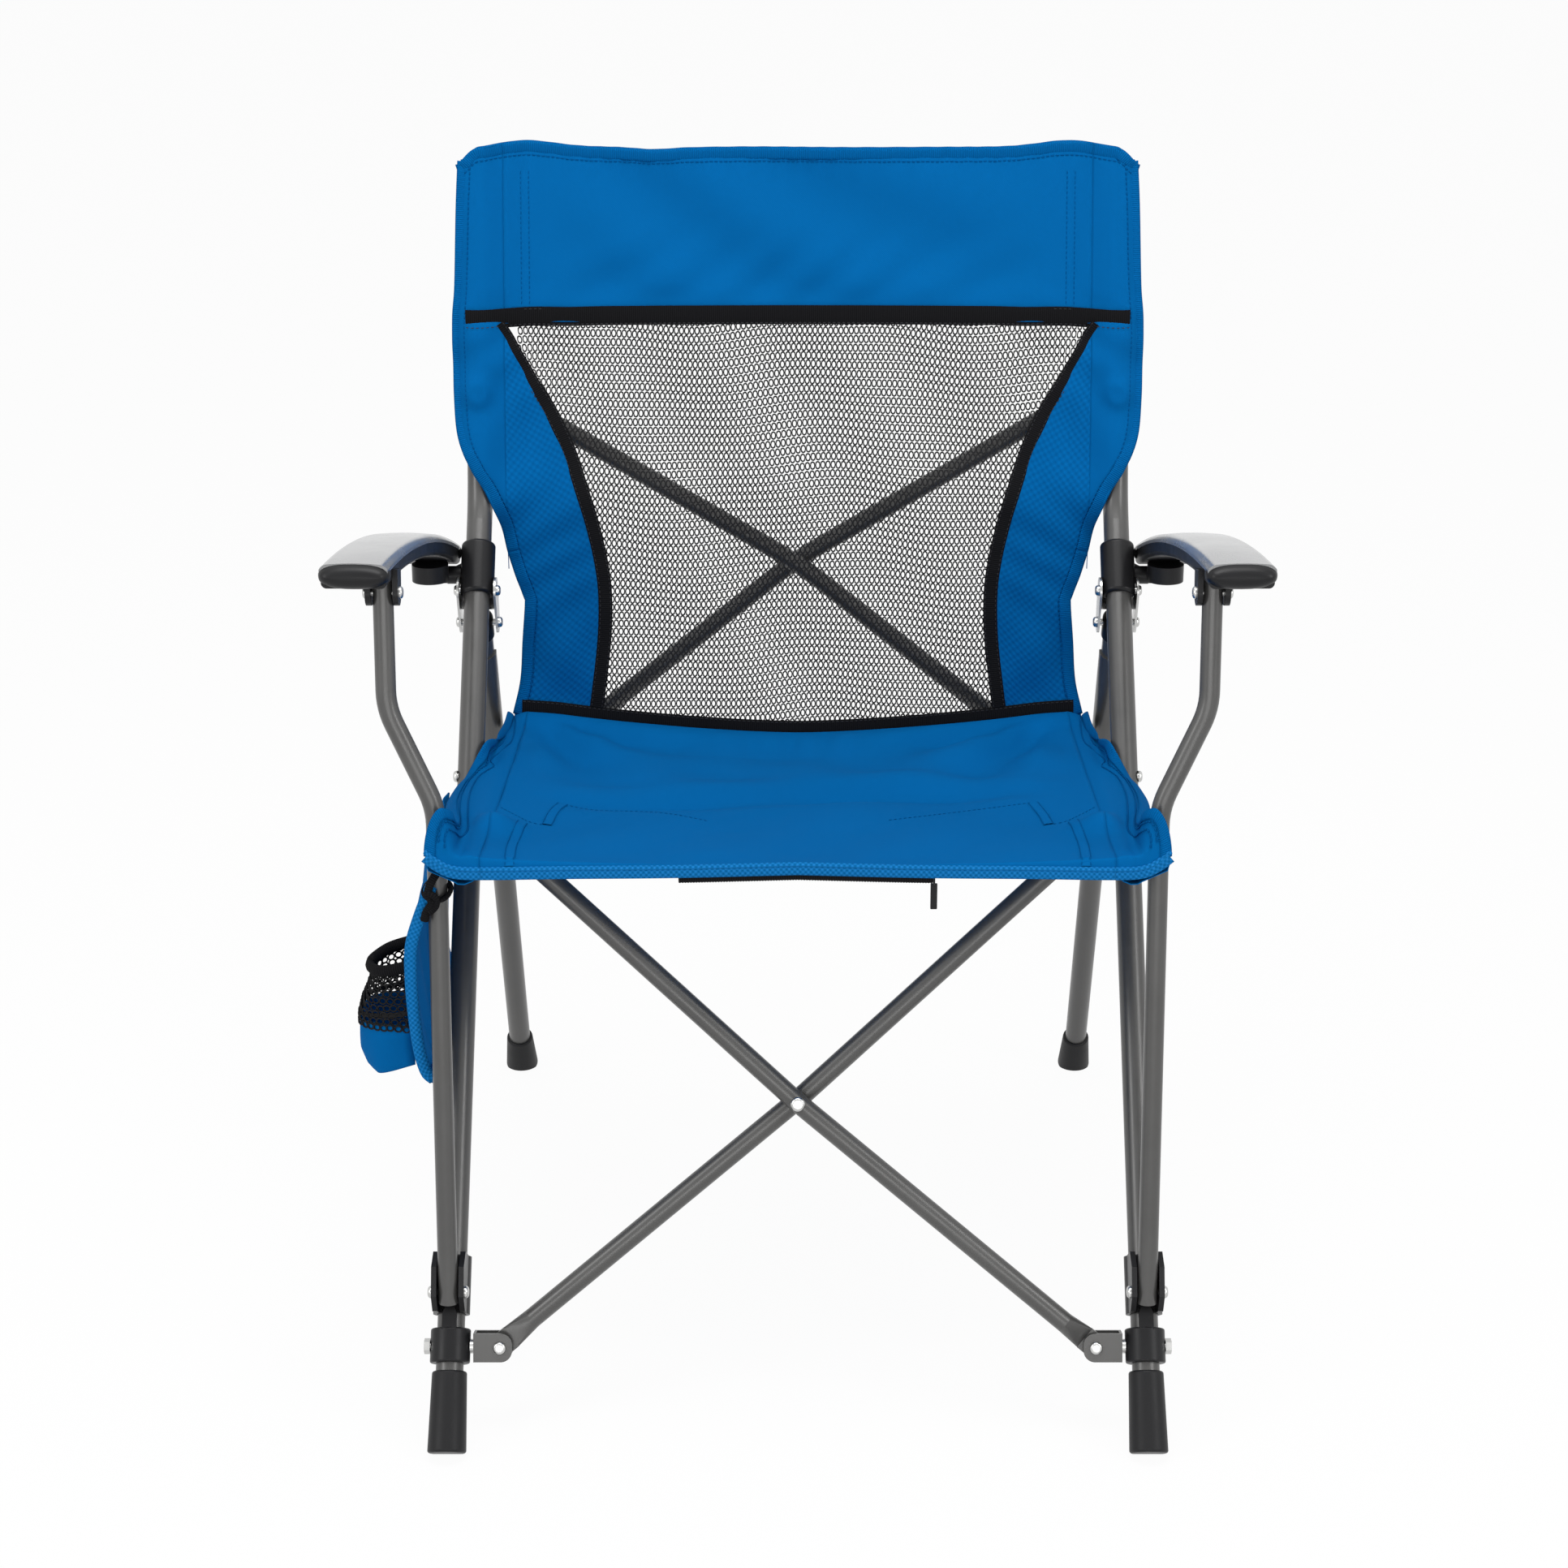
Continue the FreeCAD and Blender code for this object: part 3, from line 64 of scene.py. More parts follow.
def white_to_rays(tree, shader, share):
    """Camera, mirror and see-through rays meet plain white, mixed over the given shader."""
    nodes, links = tree.nodes, tree.links
    path = nodes.new("ShaderNodeLightPath")
    either = nodes.new("ShaderNodeMath")
    either.operation = "MAXIMUM"
    links.new(path.outputs["Is Camera Ray"], either.inputs[0])
    links.new(path.outputs["Is Glossy Ray"], either.inputs[1])
    third = nodes.new("ShaderNodeMath")
    third.operation = "MAXIMUM"
    links.new(either.outputs[0], third.inputs[0])
    links.new(path.outputs["Is Transmission Ray"], third.inputs[1])
    scale = nodes.new("ShaderNodeMath")
    scale.operation = "MULTIPLY"
    scale.inputs[1].default_value = share
    links.new(third.outputs[0], scale.inputs[0])
    white = nodes.new("ShaderNodeEmission") if tree != scene.world.node_tree else \
        nodes.new("ShaderNodeBackground")
    white.inputs["Color"].default_value = (1, 1, 1, 1)
    white.inputs["Strength"].default_value = 1.0
    mix = nodes.new("ShaderNodeMixShader")
    links.new(scale.outputs[0], mix.inputs[0])
    links.new(shader.outputs[0], mix.inputs[1])
    links.new(white.outputs[0], mix.inputs[2])
    return mix


world = bpy.data.worlds.new("surround")
scene.world = world
world.use_nodes = True
world.node_tree.nodes.clear()
glow = world.node_tree.nodes.new("ShaderNodeBackground")
glow.inputs["Color"].default_value = (1.0, 1.0, 1.0, 1)
glow.inputs["Strength"].default_value = 0.45
world_out = world.node_tree.nodes.new("ShaderNodeOutputWorld")
world.node_tree.links.new(white_to_rays(world.node_tree, glow, 1.0).outputs[0],
                          world_out.inputs["Surface"])

floor_paint = bpy.data.materials.new("floor_paint")
floor_paint.use_nodes = True
floor_paint.node_tree.nodes.clear()
matt = floor_paint.node_tree.nodes.new("ShaderNodeBsdfDiffuse")
matt.inputs["Color"].default_value = (0.86, 0.86, 0.86, 1)
floor_out = floor_paint.node_tree.nodes.new("ShaderNodeOutputMaterial")
floor_paint.node_tree.links.new(white_to_rays(floor_paint.node_tree, matt, 0.95).outputs[0],
                                floor_out.inputs["Surface"])
bpy.ops.mesh.primitive_plane_add(size=40, location=(0, 0, -0.0005))
floor = bpy.context.object
floor.name = "floor"
floor.data.materials.append(floor_paint)


def lamp(name, place, aim, size, power):
    data = bpy.data.lights.new(name, "AREA")
    data.shape = "RECTANGLE"
    data.size, data.size_y = size
    data.energy = power
    body = bpy.data.objects.new(name, data)
    scene.collection.objects.link(body)
    body.location = place
    body.rotation_euler = (Vector(aim) - Vector(place)).to_track_quat("-Z", "Y").to_euler()


lamp("overhead", (0.0, -0.5, 2.9), (0, 0, 0.4), (1.8, 1.2), 42)
lamp("left_soft", (-2.1, -1.5, 1.5), (0, 0, 0.45), (0.7, 1.7), 18)
lamp("right_soft", (2.1, -1.5, 1.5), (0, 0, 0.45), (0.7, 1.7), 18)
lamp("low_fill", (0.0, -2.6, 0.55), (0, 0, 0.3), (1.8, 0.5), 9)

view = bpy.data.cameras.new("camera")
view.lens = 67.08
view.sensor_width = 36.0
view.shift_x = -0.0088
view.clip_end = 60
eye = bpy.data.objects.new("camera", view)
scene.collection.objects.link(eye)
eye.location = (0.0, -2.2620, 1.2164)
eye.rotation_euler = (math.radians(90 - 19.5), 0, 0)
scene.camera = eye

# ---------------------------------------------------------------- steel frame
# Round steel tube, bent and pressed, in a satin dark grey powder coat. The plated, plastic and
# rubber finishes of the other hard pieces are set here too.


def group(name, outputs, inputs=()):
    tree = bpy.data.node_groups.new(name, "ShaderNodeTree")
    for label, kind, value in inputs:
        slot = tree.interface.new_socket(label, in_out="INPUT", socket_type=kind)
        slot.default_value = value
    for label, kind in outputs:
        tree.interface.new_socket(label, in_out="OUTPUT", socket_type=kind)
    return tree, tree.nodes.new("NodeGroupInput"), tree.nodes.new("NodeGroupOutput")


def add(tree, kind, **sockets):
    node = tree.nodes.new(kind)
    for key, value in sockets.items():
        if key in ("operation", "blend_type", "data_type", "wave_type", "feature",
                   "bands_direction", "distance", "noise_dimensions", "wave_profile"):
            setattr(node, key, value)
        else:
            node.inputs[key.replace("_", " ")].default_value = value
    return node


# Speckle: fine grain for coats and moulded plastic, with slow patches of wear and dust.
speckle, s_in, s_out = group("coat_grain", [("Height", "NodeSocketFloat"),
                                            ("Patches", "NodeSocketFloat")],
                             [("Scale", "NodeSocketFloat", 900.0)])
where = speckle.nodes.new("ShaderNodeTexCoord")
fine = add(speckle, "ShaderNodeTexNoise", Detail=3.0, Roughness=0.6)
slow = add(speckle, "ShaderNodeTexNoise", Scale=22.0, Detail=5.0, Roughness=0.65)
speckle.links.new(where.outputs["Object"], fine.inputs["Vector"])
speckle.links.new(where.outputs["Object"], slow.inputs["Vector"])
speckle.links.new(s_in.outputs["Scale"], fine.inputs["Scale"])
speckle.links.new(fine.outputs["Fac"], s_out.inputs["Height"])
speckle.links.new(slow.outputs["Fac"], s_out.inputs["Patches"])


def hard_finish(name, colour, rough, metal=0.0, coat=0.0, grain=900.0, lift=0.00004, shade=0.16,
                gloss=0.5):
    """Paint, plastic, rubber or plated steel with fine grain and slight patches."""
    made = bpy.data.materials.new(name)
    made.use_nodes = True
    tree = made.node_tree
    skin = tree.nodes["Principled BSDF"]
    skin.inputs["Metallic"].default_value = metal
    skin.inputs["Coat Weight"].default_value = coat
    skin.inputs["Specular IOR Level"].default_value = gloss
    skin.inputs["Coat Roughness"].default_value = 0.18
    grains = tree.nodes.new("ShaderNodeGroup")
    grains.node_tree = speckle
    grains.inputs["Scale"].default_value = grain
    bump = add(tree, "ShaderNodeBump", Strength=0.35, Distance=lift)
    tree.links.new(grains.outputs["Height"], bump.inputs["Height"])
    tree.links.new(bump.outputs["Normal"], skin.inputs["Normal"])
    ramp = tree.nodes.new("ShaderNodeMapRange")
    ramp.inputs["From Min"].default_value = 0.3
    ramp.inputs["From Max"].default_value = 0.7
    ramp.inputs["To Min"].default_value = rough * 0.85
    ramp.inputs["To Max"].default_value = min(1.0, rough * 1.2)
    tree.links.new(grains.outputs["Patches"], ramp.inputs["Value"])
    tree.links.new(ramp.outputs["Result"], skin.inputs["Roughness"])
    mix = tree.nodes.new("ShaderNodeMix")
    mix.data_type = "RGBA"
    mix.inputs["A"].default_value = (*[c * (1 - shade) for c in colour], 1)
    mix.inputs["B"].default_value = (*[min(1.0, c * (1 + shade)) for c in colour], 1)
    tree.links.new(grains.outputs["Patches"], mix.inputs["Factor"])
    tree.links.new(mix.outputs["Result"], skin.inputs["Base Color"])
    return made


frame_paint = hard_finish("frame_paint", (0.078, 0.077, 0.075), 0.33, metal=0.3, coat=0.15)
zinc = hard_finish("zinc_plate", (0.56, 0.56, 0.55), 0.3, metal=1.0, grain=500.0)
black_plastic = hard_finish("black_plastic", (0.010, 0.010, 0.011), 0.36, grain=1400.0,
                            lift=0.00004, gloss=0.22)
rubber = hard_finish("foot_rubber", (0.012, 0.012, 0.013), 0.45, grain=700.0, lift=0.00006,
                     gloss=0.2)
armrest_grey = hard_finish("armrest_grey", (0.18, 0.183, 0.187), 0.24, coat=0.6, grain=1400.0,
                           lift=0.000005, shade=0.06)
finish_of = {"frame_paint": frame_paint, "zinc": zinc, "black_plastic": black_plastic,
             "black_rubber": rubber, "armrest_grey": armrest_grey}
for row in frame["record"]["subparts"]:
    coat = finish_of.get(row["material_slot"])
    if coat:
        part = frame["nodes"][row["node"]]
        part.data.materials.clear()
        part.data.materials.append(coat)

# ---------------------------------------------------------------- armrest ends
# Black moulded ends pushed over both ends of each armrest: a flattened oval with a softly
# rounded nose.
CAP_HALF_W, CAP_UP, CAP_DOWN = 0.0256, 0.0092, 0.0100
CAP_LONG, CAP_OVERLAP, CAP_SINK = 0.0150, 0.0075, 0.0020
CAP_SIDES = 40
SPLAY = math.radians(1.6)       # each armrest turns out a little towards its front


def cap_skin(name, root, ahead, splay):
    """Rings of a flattened oval from the armrest's end face out to the nose."""
    side = Vector((math.cos(splay), math.sin(splay), 0))
    up = side.cross(ahead).normalized()
    if up.z < 0:
        up = -up
    made = bmesh.new()
    rings = []
    for t in (0.0, 0.12, 0.35, 0.6, 0.78, 0.9, 0.97, 1.0):
        grow = (1 - t ** 3.2) ** 0.5 if t < 1 else 0.0
        ring = []
        for k in range(CAP_SIDES):
            a = 2 * math.pi * k / CAP_SIDES
            c, s = math.cos(a), math.sin(a)
            w = math.copysign(abs(c) ** 0.75, c) * CAP_HALF_W * (0.62 + 0.38 * grow)
            h = math.copysign(abs(s) ** 0.85, s) * (CAP_UP if s > 0 else CAP_DOWN) * grow
            p = root + side * w + up * (h - CAP_SINK) + ahead * (CAP_LONG * t - CAP_OVERLAP)
            ring.append(made.verts.new(p))
        rings.append(ring)
    for a, b in zip(rings, rings[1:]):
        for k in range(CAP_SIDES):
            n = (k + 1) % CAP_SIDES
            made.faces.new((a[k], a[n], b[n], b[k]))
    made.faces.new(rings[0][::-1])
    made.faces.new(rings[-1])
    bmesh.ops.remove_doubles(made, verts=made.verts, dist=1e-5)
    bmesh.ops.recalc_face_normals(made, faces=made.faces)
    mesh = bpy.data.meshes.new(name)
    made.to_mesh(mesh)
    made.free()
    mesh.polygons.foreach_set("use_smooth", [True] * len(mesh.polygons))
    mesh.materials.append(black_plastic)
    cap = bpy.data.objects.new(name, mesh)
    scene.collection.objects.link(cap)
    return cap


for s, side in ((-1, "right"), (1, "left")):
    for end, x, y, z, drop, way in (("front", 0.3145, -0.2648, 0.6670, -0.065, -1),
                                    ("rear", 0.3043, 0.0978, 0.5870, 0.380, 1)):
        ahead = Vector((-way * s * math.sin(SPLAY), way * math.cos(SPLAY), -drop)).normalized()
        cap = cap_skin("%s_armrest_cap_%s" % (side, end), Vector((s * x, y, z)), ahead, s * SPLAY)
        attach(cap, side + "_armrest")
        if end == "front":
            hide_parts(side + "_armrest_caps")

# ---------------------------------------------------------------- back cloth
# One panel of blue polyester stretched between the two posts. Its sides are sewn back round the
# posts as sleeves, and below the sleeves it narrows to wings beside the net window.
# Weave: threads crossing on the UV map, whose unit is a metre, ribs running one way, and slubs,
# the slow unevenness of the yarn.
weave, w_in, w_out = group("weave", [("Crossing", "NodeSocketFloat"), ("Ribs", "NodeSocketFloat"),
                                     ("Slubs", "NodeSocketFloat")],
                           [("Pitch", "NodeSocketFloat", 0.0011)])
on_cloth = weave.nodes.new("ShaderNodeTexCoord")
ways = weave.nodes.new("ShaderNodeSeparateXYZ")
weave.links.new(on_cloth.outputs["UV"], ways.inputs[0])
turns = add(weave, "ShaderNodeMath", operation="DIVIDE")
turns.inputs[0].default_value = 2 * math.pi
weave.links.new(w_in.outputs["Pitch"], turns.inputs[1])
crossing = add(weave, "ShaderNodeMath", operation="MULTIPLY")
for slot, way in enumerate("XY"):
    angle = add(weave, "ShaderNodeMath", operation="MULTIPLY")
    weave.links.new(ways.outputs[way], angle.inputs[0])
    weave.links.new(turns.outputs[0], angle.inputs[1])
    wave = add(weave, "ShaderNodeMath", operation="SINE")
    weave.links.new(angle.outputs[0], wave.inputs[0])
    weave.links.new(wave.outputs[0], crossing.inputs[slot])
    if way == "X":
        weave.links.new(wave.outputs[0], w_out.inputs["Ribs"])
weave.links.new(crossing.outputs[0], w_out.inputs["Crossing"])
slubs = add(weave, "ShaderNodeTexNoise", Scale=60.0, Detail=6.0, Roughness=0.7)
weave.links.new(on_cloth.outputs["Object"], slubs.inputs["Vector"])
weave.links.new(slubs.outputs["Fac"], w_out.inputs["Slubs"])


def cloth_finish(name, colour, pitch, lift, pattern="Crossing", contrast=0.10, twin=0.0):
    """Woven or ribbed cloth; twin darkens the gaps of a coarse two-tone weave."""
    made = bpy.data.materials.new(name)
    made.use_nodes = True
    tree = made.node_tree
    skin = tree.nodes["Principled BSDF"]
    skin.inputs["Roughness"].default_value = 0.85
    skin.inputs["Specular IOR Level"].default_value = 0.04
    yarn = tree.nodes.new("ShaderNodeGroup")
    yarn.node_tree = weave
    yarn.inputs["Pitch"].default_value = pitch
    bump = add(tree, "ShaderNodeBump", Strength=0.8, Distance=lift)
    tree.links.new(yarn.outputs[pattern], bump.inputs["Height"])
    soft = add(tree, "ShaderNodeBump", Strength=0.25, Distance=0.0006)
    tree.links.new(yarn.outputs["Slubs"], soft.inputs["Height"])
    tree.links.new(bump.outputs["Normal"], soft.inputs["Normal"])
    tree.links.new(soft.outputs["Normal"], skin.inputs["Normal"])
    tone = tree.nodes.new("ShaderNodeMapRange")
    tone.inputs["From Min"].default_value = -1
    tree.links.new(yarn.outputs[pattern], tone.inputs["Value"])
    mix = tree.nodes.new("ShaderNodeMix")
    mix.data_type = "RGBA"
    gap = [c * (1 - contrast - twin) for c in colour]
    crest = [min(1.0, c * (1 + contrast) + twin * 0.2) for c in colour]
    mix.inputs["A"].default_value = (*gap, 1)
    mix.inputs["B"].default_value = (*crest, 1)
    tree.links.new(tone.outputs["Result"], mix.inputs["Factor"])
    tree.links.new(mix.outputs["Result"], skin.inputs["Base Color"])
    return made


blue_cloth = cloth_finish("blue_cloth", (0.0, 0.106, 0.325), 0.0011, 0.00006)
# Over the wings the net runs on behind the cloth, and its grid shows through.
lined_cloth = cloth_finish("lined_cloth", (0.0, 0.104, 0.322), 0.0064, 0.00022, contrast=0.13)


def sheet_mesh(name, rows, coat, flip=False, uv=None):
    """Rows of points, all as long, joined into one sheet; the UV unit is a metre."""
    rows = np.asarray(rows, float)
    n, m = rows.shape[:2]
    faces = []
    for i in range(n - 1):
        for j in range(m - 1):
            quad = (i * m + j, i * m + j + 1, (i + 1) * m + j + 1, (i + 1) * m + j)
            faces.append(quad[::-1] if flip else quad)
    mesh = bpy.data.meshes.new(name)
    mesh.from_pydata([tuple(v) for v in rows.reshape(-1, 3)], [], faces)
    if uv is None:
        along = np.zeros((n, m))
        down = np.zeros((n, m))
        along[:, 1:] = np.cumsum(np.linalg.norm(np.diff(rows, axis=1), axis=2), axis=1)
        down[1:, :] = np.cumsum(np.linalg.norm(np.diff(rows, axis=0), axis=2), axis=0)
        uv = np.stack([along - along[:, m // 2:m // 2 + 1], down], axis=2)
    flat = np.asarray(uv, float).reshape(-1, 2)
    layer = mesh.uv_layers.new(name="UVMap")
    index = np.zeros(len(mesh.loops), int)
    mesh.loops.foreach_get("vertex_index", index)
    layer.data.foreach_set("uv", flat[index].astype(np.float32).ravel())
    mesh.polygons.foreach_set("use_smooth", [True] * len(mesh.polygons))
    mesh.materials.append(coat)
    made = bpy.data.objects.new(name, mesh)
    scene.collection.objects.link(made)
    return made


def joined(name, pieces):
    """Several pieces as one mesh, each with its own finish."""
    for o in bpy.context.selected_objects:
        o.select_set(False)
    for o in pieces:
        o.select_set(True)
    bpy.context.view_layer.objects.active = pieces[0]
    bpy.ops.object.join()
    pieces[0].name = name
    pieces[0].data.name = name
    return pieces[0]


def thick(piece, depth):
    """Gives a sheet its thickness, half to each side."""
    wall = piece.modifiers.new("thickness", "SOLIDIFY")
    wall.thickness = depth
    wall.offset = 0.0
    return piece


def smoothstep(a, b, x):
    t = np.clip((x - a) / (b - a), 0, 1)
    return t * t * (3 - 2 * t)


def spline(points, count):
    """Smooth line through points, evenly spaced."""
    pts = np.asarray(points, float)
    ext = np.vstack([2 * pts[0] - pts[1], pts, 2 * pts[-1] - pts[-2]])
    out = []
    for i in range(len(pts) - 1):
        p0, p1, p2, p3 = ext[i:i + 4]
        for t in np.linspace(0, 1, 24, endpoint=i == len(pts) - 2):
            out.append(0.5 * (2 * p1 + (p2 - p0) * t + (2 * p0 - 5 * p1 + 4 * p2 - p3) * t * t
                              + (3 * p1 - p0 - 3 * p2 + p3) * t ** 3))
    out = np.array(out)
    run = np.r_[0, np.cumsum(np.linalg.norm(np.diff(out, axis=0), axis=1))]
    s = np.linspace(0, run[-1], count)
    return np.stack([np.interp(s, run, out[:, k]) for k in range(out.shape[1])], axis=1)


def ride_or_squash(piece, side):
    """Back pieces: each side piece goes with its post, and a middle piece goes with the right post
    on a mesh of its own.
    """
    if side == "middle":
        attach(piece, "right_post")
        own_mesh(piece)
    else:
        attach(piece, side + "_post")
    return piece


POST_X = 0.265
SLEEVE_IN = 0.243          # inner edge of the part of the sleeve that the posts carry
CORNER_Y, CORNER_Z = 0.1176, 0.6269     # where the cloth leaves the posts' slope
LEAN = math.tan(math.radians(14.0))
HEAD_Z, HEAD_R = 0.7140, 0.0105         # rivet head on the post, felt through the sleeve
CLOTH = 0.0011


def back_line(z):
    """The cloth's depth at each height: along the posts above, straight down below."""
    z = np.asarray(z, float)
    high = CORNER_Y + (z - CORNER_Z) * LEAN
    low = CORNER_Y + (CORNER_Z - z) * 0.029
    t = smoothstep(CORNER_Z - 0.035, CORNER_Z + 0.035, z)
    return low * (1 - t) + high * t


outer_line = spline([(0.2795, 0.8975), (0.2815, 0.860), (0.2835, 0.800), (0.2860, 0.766),
                     (0.2850, 0.714), (0.2820, 0.680), (0.2710, 0.655), (0.2595, 0.636),
                     (0.2490, 0.609), (0.2420, 0.576), (0.2325, 0.545), (0.2305, 0.535),
                     (0.2340, 0.499), (0.2370, 0.465), (0.2440, 0.436)], 160)
window_line = spline([(0.2560, 0.7770), (0.2447, 0.7628), (0.2248, 0.7272), (0.1981, 0.6819),
                      (0.1815, 0.6364), (0.1703, 0.5944), (0.1636, 0.5518), (0.1641, 0.5085),
                      (0.1702, 0.4574), (0.1735, 0.4360)], 120)


def edge_x(z, line):
    order = np.argsort(line[:, 1])
    return np.interp(z, line[order, 1], line[order, 0])


def window_low(x):
    """Height of the seam between back and seat."""
    return 0.4237 + 0.0203 * np.minimum(1.0, np.abs(x) / 0.234) ** 1.6


def over_post(x, z):
    """How far forward the cloth stands where it passes over a post."""
    a, z = np.abs(np.asarray(x, float)), np.asarray(z, float)
    rise = np.interp(a, [0.218, 0.226, 0.240, 0.252, 0.258, 0.265, 0.272, 0.278, 0.282, 0.286],
                     [0.0, 0.0008, 0.0050, 0.0105, 0.0128, 0.0137, 0.0128, 0.0090, 0.0045, 0.001])
    head = np.exp(-((a - POST_X) / HEAD_R) ** 2 - ((z - HEAD_Z) / HEAD_R) ** 2)
    return rise * smoothstep(0.588, 0.632, z) + 0.0046 * np.minimum(1.0, 1.7 * head)


def back_depth(x, z):
    """Front surface of the back cloth and net."""
    x, z = np.asarray(x, float), np.asarray(z, float)
    across = np.clip(1 - (np.abs(x) / 0.235) ** 2, 0, 1)
    hollow = 0.011 * across * np.sin(np.clip((z - 0.42) / 0.5, 0, 1) * math.pi) ** 0.8
    y = back_line(z) + hollow - over_post(x, z)
    top = smoothstep(0.768, 0.80, z)
    slant = 0.0022 * np.sin(62 * (x * 0.45 + (z - 0.8)) + 2.2 * np.sin(9 * x + 1) + 1.2) * \
        smoothstep(0.235, 0.12, np.abs(x))
    slant = slant + 0.0012 * np.sin(120 * (x * 0.7 - z) + 3 * np.sin(14 * x)) * \
        smoothstep(0.86, 0.79, z) * smoothstep(0.225, 0.16, np.abs(x))
    side = 0.0017 * np.sin(80 * (np.abs(x) * 0.9 - z * 0.55) + 1.5 * np.sin(21 * z) + 0.6) + \
        0.0008 * np.sin(170 * (np.abs(x) * 0.6 + z * 0.8) + 2 * np.sin(33 * z))
    puckers = 0.0007 * np.sin(x * 330 + 2 * np.sin(x * 41)) * smoothstep(0.872, 0.902, z)
    return y + slant * top + side * (1 - top) * smoothstep(0.14, 0.2, np.abs(x)) + puckers


def back_point(x, z):
    """Points on the cloth's front surface."""
    x, z = np.broadcast_arrays(np.asarray(x, float), np.asarray(z, float))
    return np.stack([x, back_depth(x, z), z], -1)


def top_edge(x):
    """Height of the back's top edge: drawn up a little at the sleeve seams."""
    a = np.abs(np.asarray(x, float))
    dip = -0.0016 * np.exp(-((np.asarray(x, float) + 0.120) / 0.020) ** 2)
    return 0.9052 + dip + 0.0056 * np.exp(-((a - 0.226) / 0.036) ** 2) \
        - 0.0125 * smoothstep(0.262, 0.281, a)


middle = []
xs = np.linspace(-SLEEVE_IN, SLEEVE_IN, 121)
for t in np.linspace(0, 1, 40):
    z = 0.768 + (top_edge(xs) - 0.768) * t
    middle.append(back_point(xs, z))
top_panel = sheet_mesh("back_top", middle[::-1], blue_cloth)
wings = []
for s in (-1, 1):
    rows = []
    for z in np.linspace(0.772, 0.4265, 110):
        inner = edge_x(z, window_line)
        outer = min(SLEEVE_IN, edge_x(z, outer_line))
        x = s * np.linspace(inner, outer, 26)
        if inner >= outer:
            x = s * np.full(26, outer) + s * np.linspace(-0.0005, 0, 26)
        rows.append(back_point(x, np.full(26, z)))
    wings.append(sheet_mesh("wing", rows, lined_cloth, flip=s < 0))
back_cloth = thick(joined("back_cloth", [top_panel] + wings), CLOTH)
ride_or_squash(back_cloth, "middle")
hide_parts("back_fabric")

for s, side in ((-1, "right"), (1, "left")):
    rows = []
    for z0 in np.linspace(1, 0, 120):
        z_top = top_edge(np.array([0.265]))[0]
        z = 0.566 + (z_top - 0.566) * z0
        outer = edge_x(z, outer_line)
        if outer <= SLEEVE_IN + 0.0006:
            outer = SLEEVE_IN + 0.0006
        x = np.linspace(SLEEVE_IN, outer, 22)
        zz = np.where(z > 0.88, z + (top_edge(x) - z_top) * smoothstep(0.88, z_top, z), z)
        rows.append(back_point(s * x, zz))
    front = sheet_mesh("sleeve_front", rows, blue_cloth, flip=s < 0)
    rows = []
    for z in np.linspace(0.6600, 0.8960, 60):
        outer = edge_x(z, outer_line) - 0.0004
        inner = max(0.226, edge_x(z, window_line) + 0.004) if z < 0.775 else 0.226
        x = np.linspace(inner, outer, 22)
        y = back_line(z) + 0.0012 + over_post(x, z + 0.1)
        rows.append(np.stack([s * x, y, np.full(22, z)], -1))
    rear = sheet_mesh("sleeve_rear", rows, blue_cloth, flip=s < 0)
    sleeve = thick(joined(side + "_back_sleeve", [front, rear]), CLOTH)
    ride_or_squash(sleeve, side)

# ---------------------------------------------------------------- back edge tape
# Ribbed blue tape folded over every raw edge of the back and sewn through. It runs up each
# side and over the top.
blue_tape = cloth_finish("blue_tape", (0.0, 0.100, 0.310), 0.0016, 0.00018, pattern="Ribs",
                         contrast=0.16)
thread_blue = cloth_finish("blue_thread", (0.0, 0.076, 0.245), 0.0006, 0.00003)
TAPE_W = 0.0098
SLEEVE_END = 0.5800         # below this the wings hang free of the posts
FORWARD = np.array([0.0, -1.0, 0.0])


def tape(name, middle, across, face, width, coat, crown=0.0006, gap=0.0005):
    """Flat tape along a line of points: across and face are unit directions at each point."""
    middle, across, face = (np.asarray(a, float) for a in (middle, across, face))
    rows = []
    run = np.r_[0, np.cumsum(np.linalg.norm(np.diff(middle, axis=0), axis=1))]
    uv = []
    for u in np.linspace(-0.5, 0.5, 7):
        lift = gap + crown * (1 - (2 * u) ** 4)
        rows.append(middle + across * (u * width) + face * lift)
        uv.append(np.stack([run, np.full(len(run), u * width)], axis=1))
    return sheet_mesh(name, rows, coat, uv=uv)


def stitches(name, line, face, coat, length=0.0026, pitch=0.0040, depth=0.00036):
    """Row of thread stitches laid along a line, one small bead each."""
    line, face = np.asarray(line, float), np.asarray(face, float)
    run = np.r_[0, np.cumsum(np.linalg.norm(np.diff(line, axis=0), axis=1))]
    count = max(2, int(run[-1] / pitch))
    s = (np.arange(count) + 0.5) * run[-1] / count
    spots = np.stack([np.interp(s, run, line[:, k]) for k in range(3)], axis=1)
    faces = np.stack([np.interp(s, run, face[:, k]) for k in range(3)], axis=1)
    ahead = np.stack([np.interp(s + 0.001, run, line[:, k]) for k in range(3)], axis=1)
    back = np.stack([np.interp(s - 0.001, run, line[:, k]) for k in range(3)], axis=1)
    return spread(name, bead(length, depth), spots + faces * (depth * 0.3), ahead - back,
                  faces, coat)


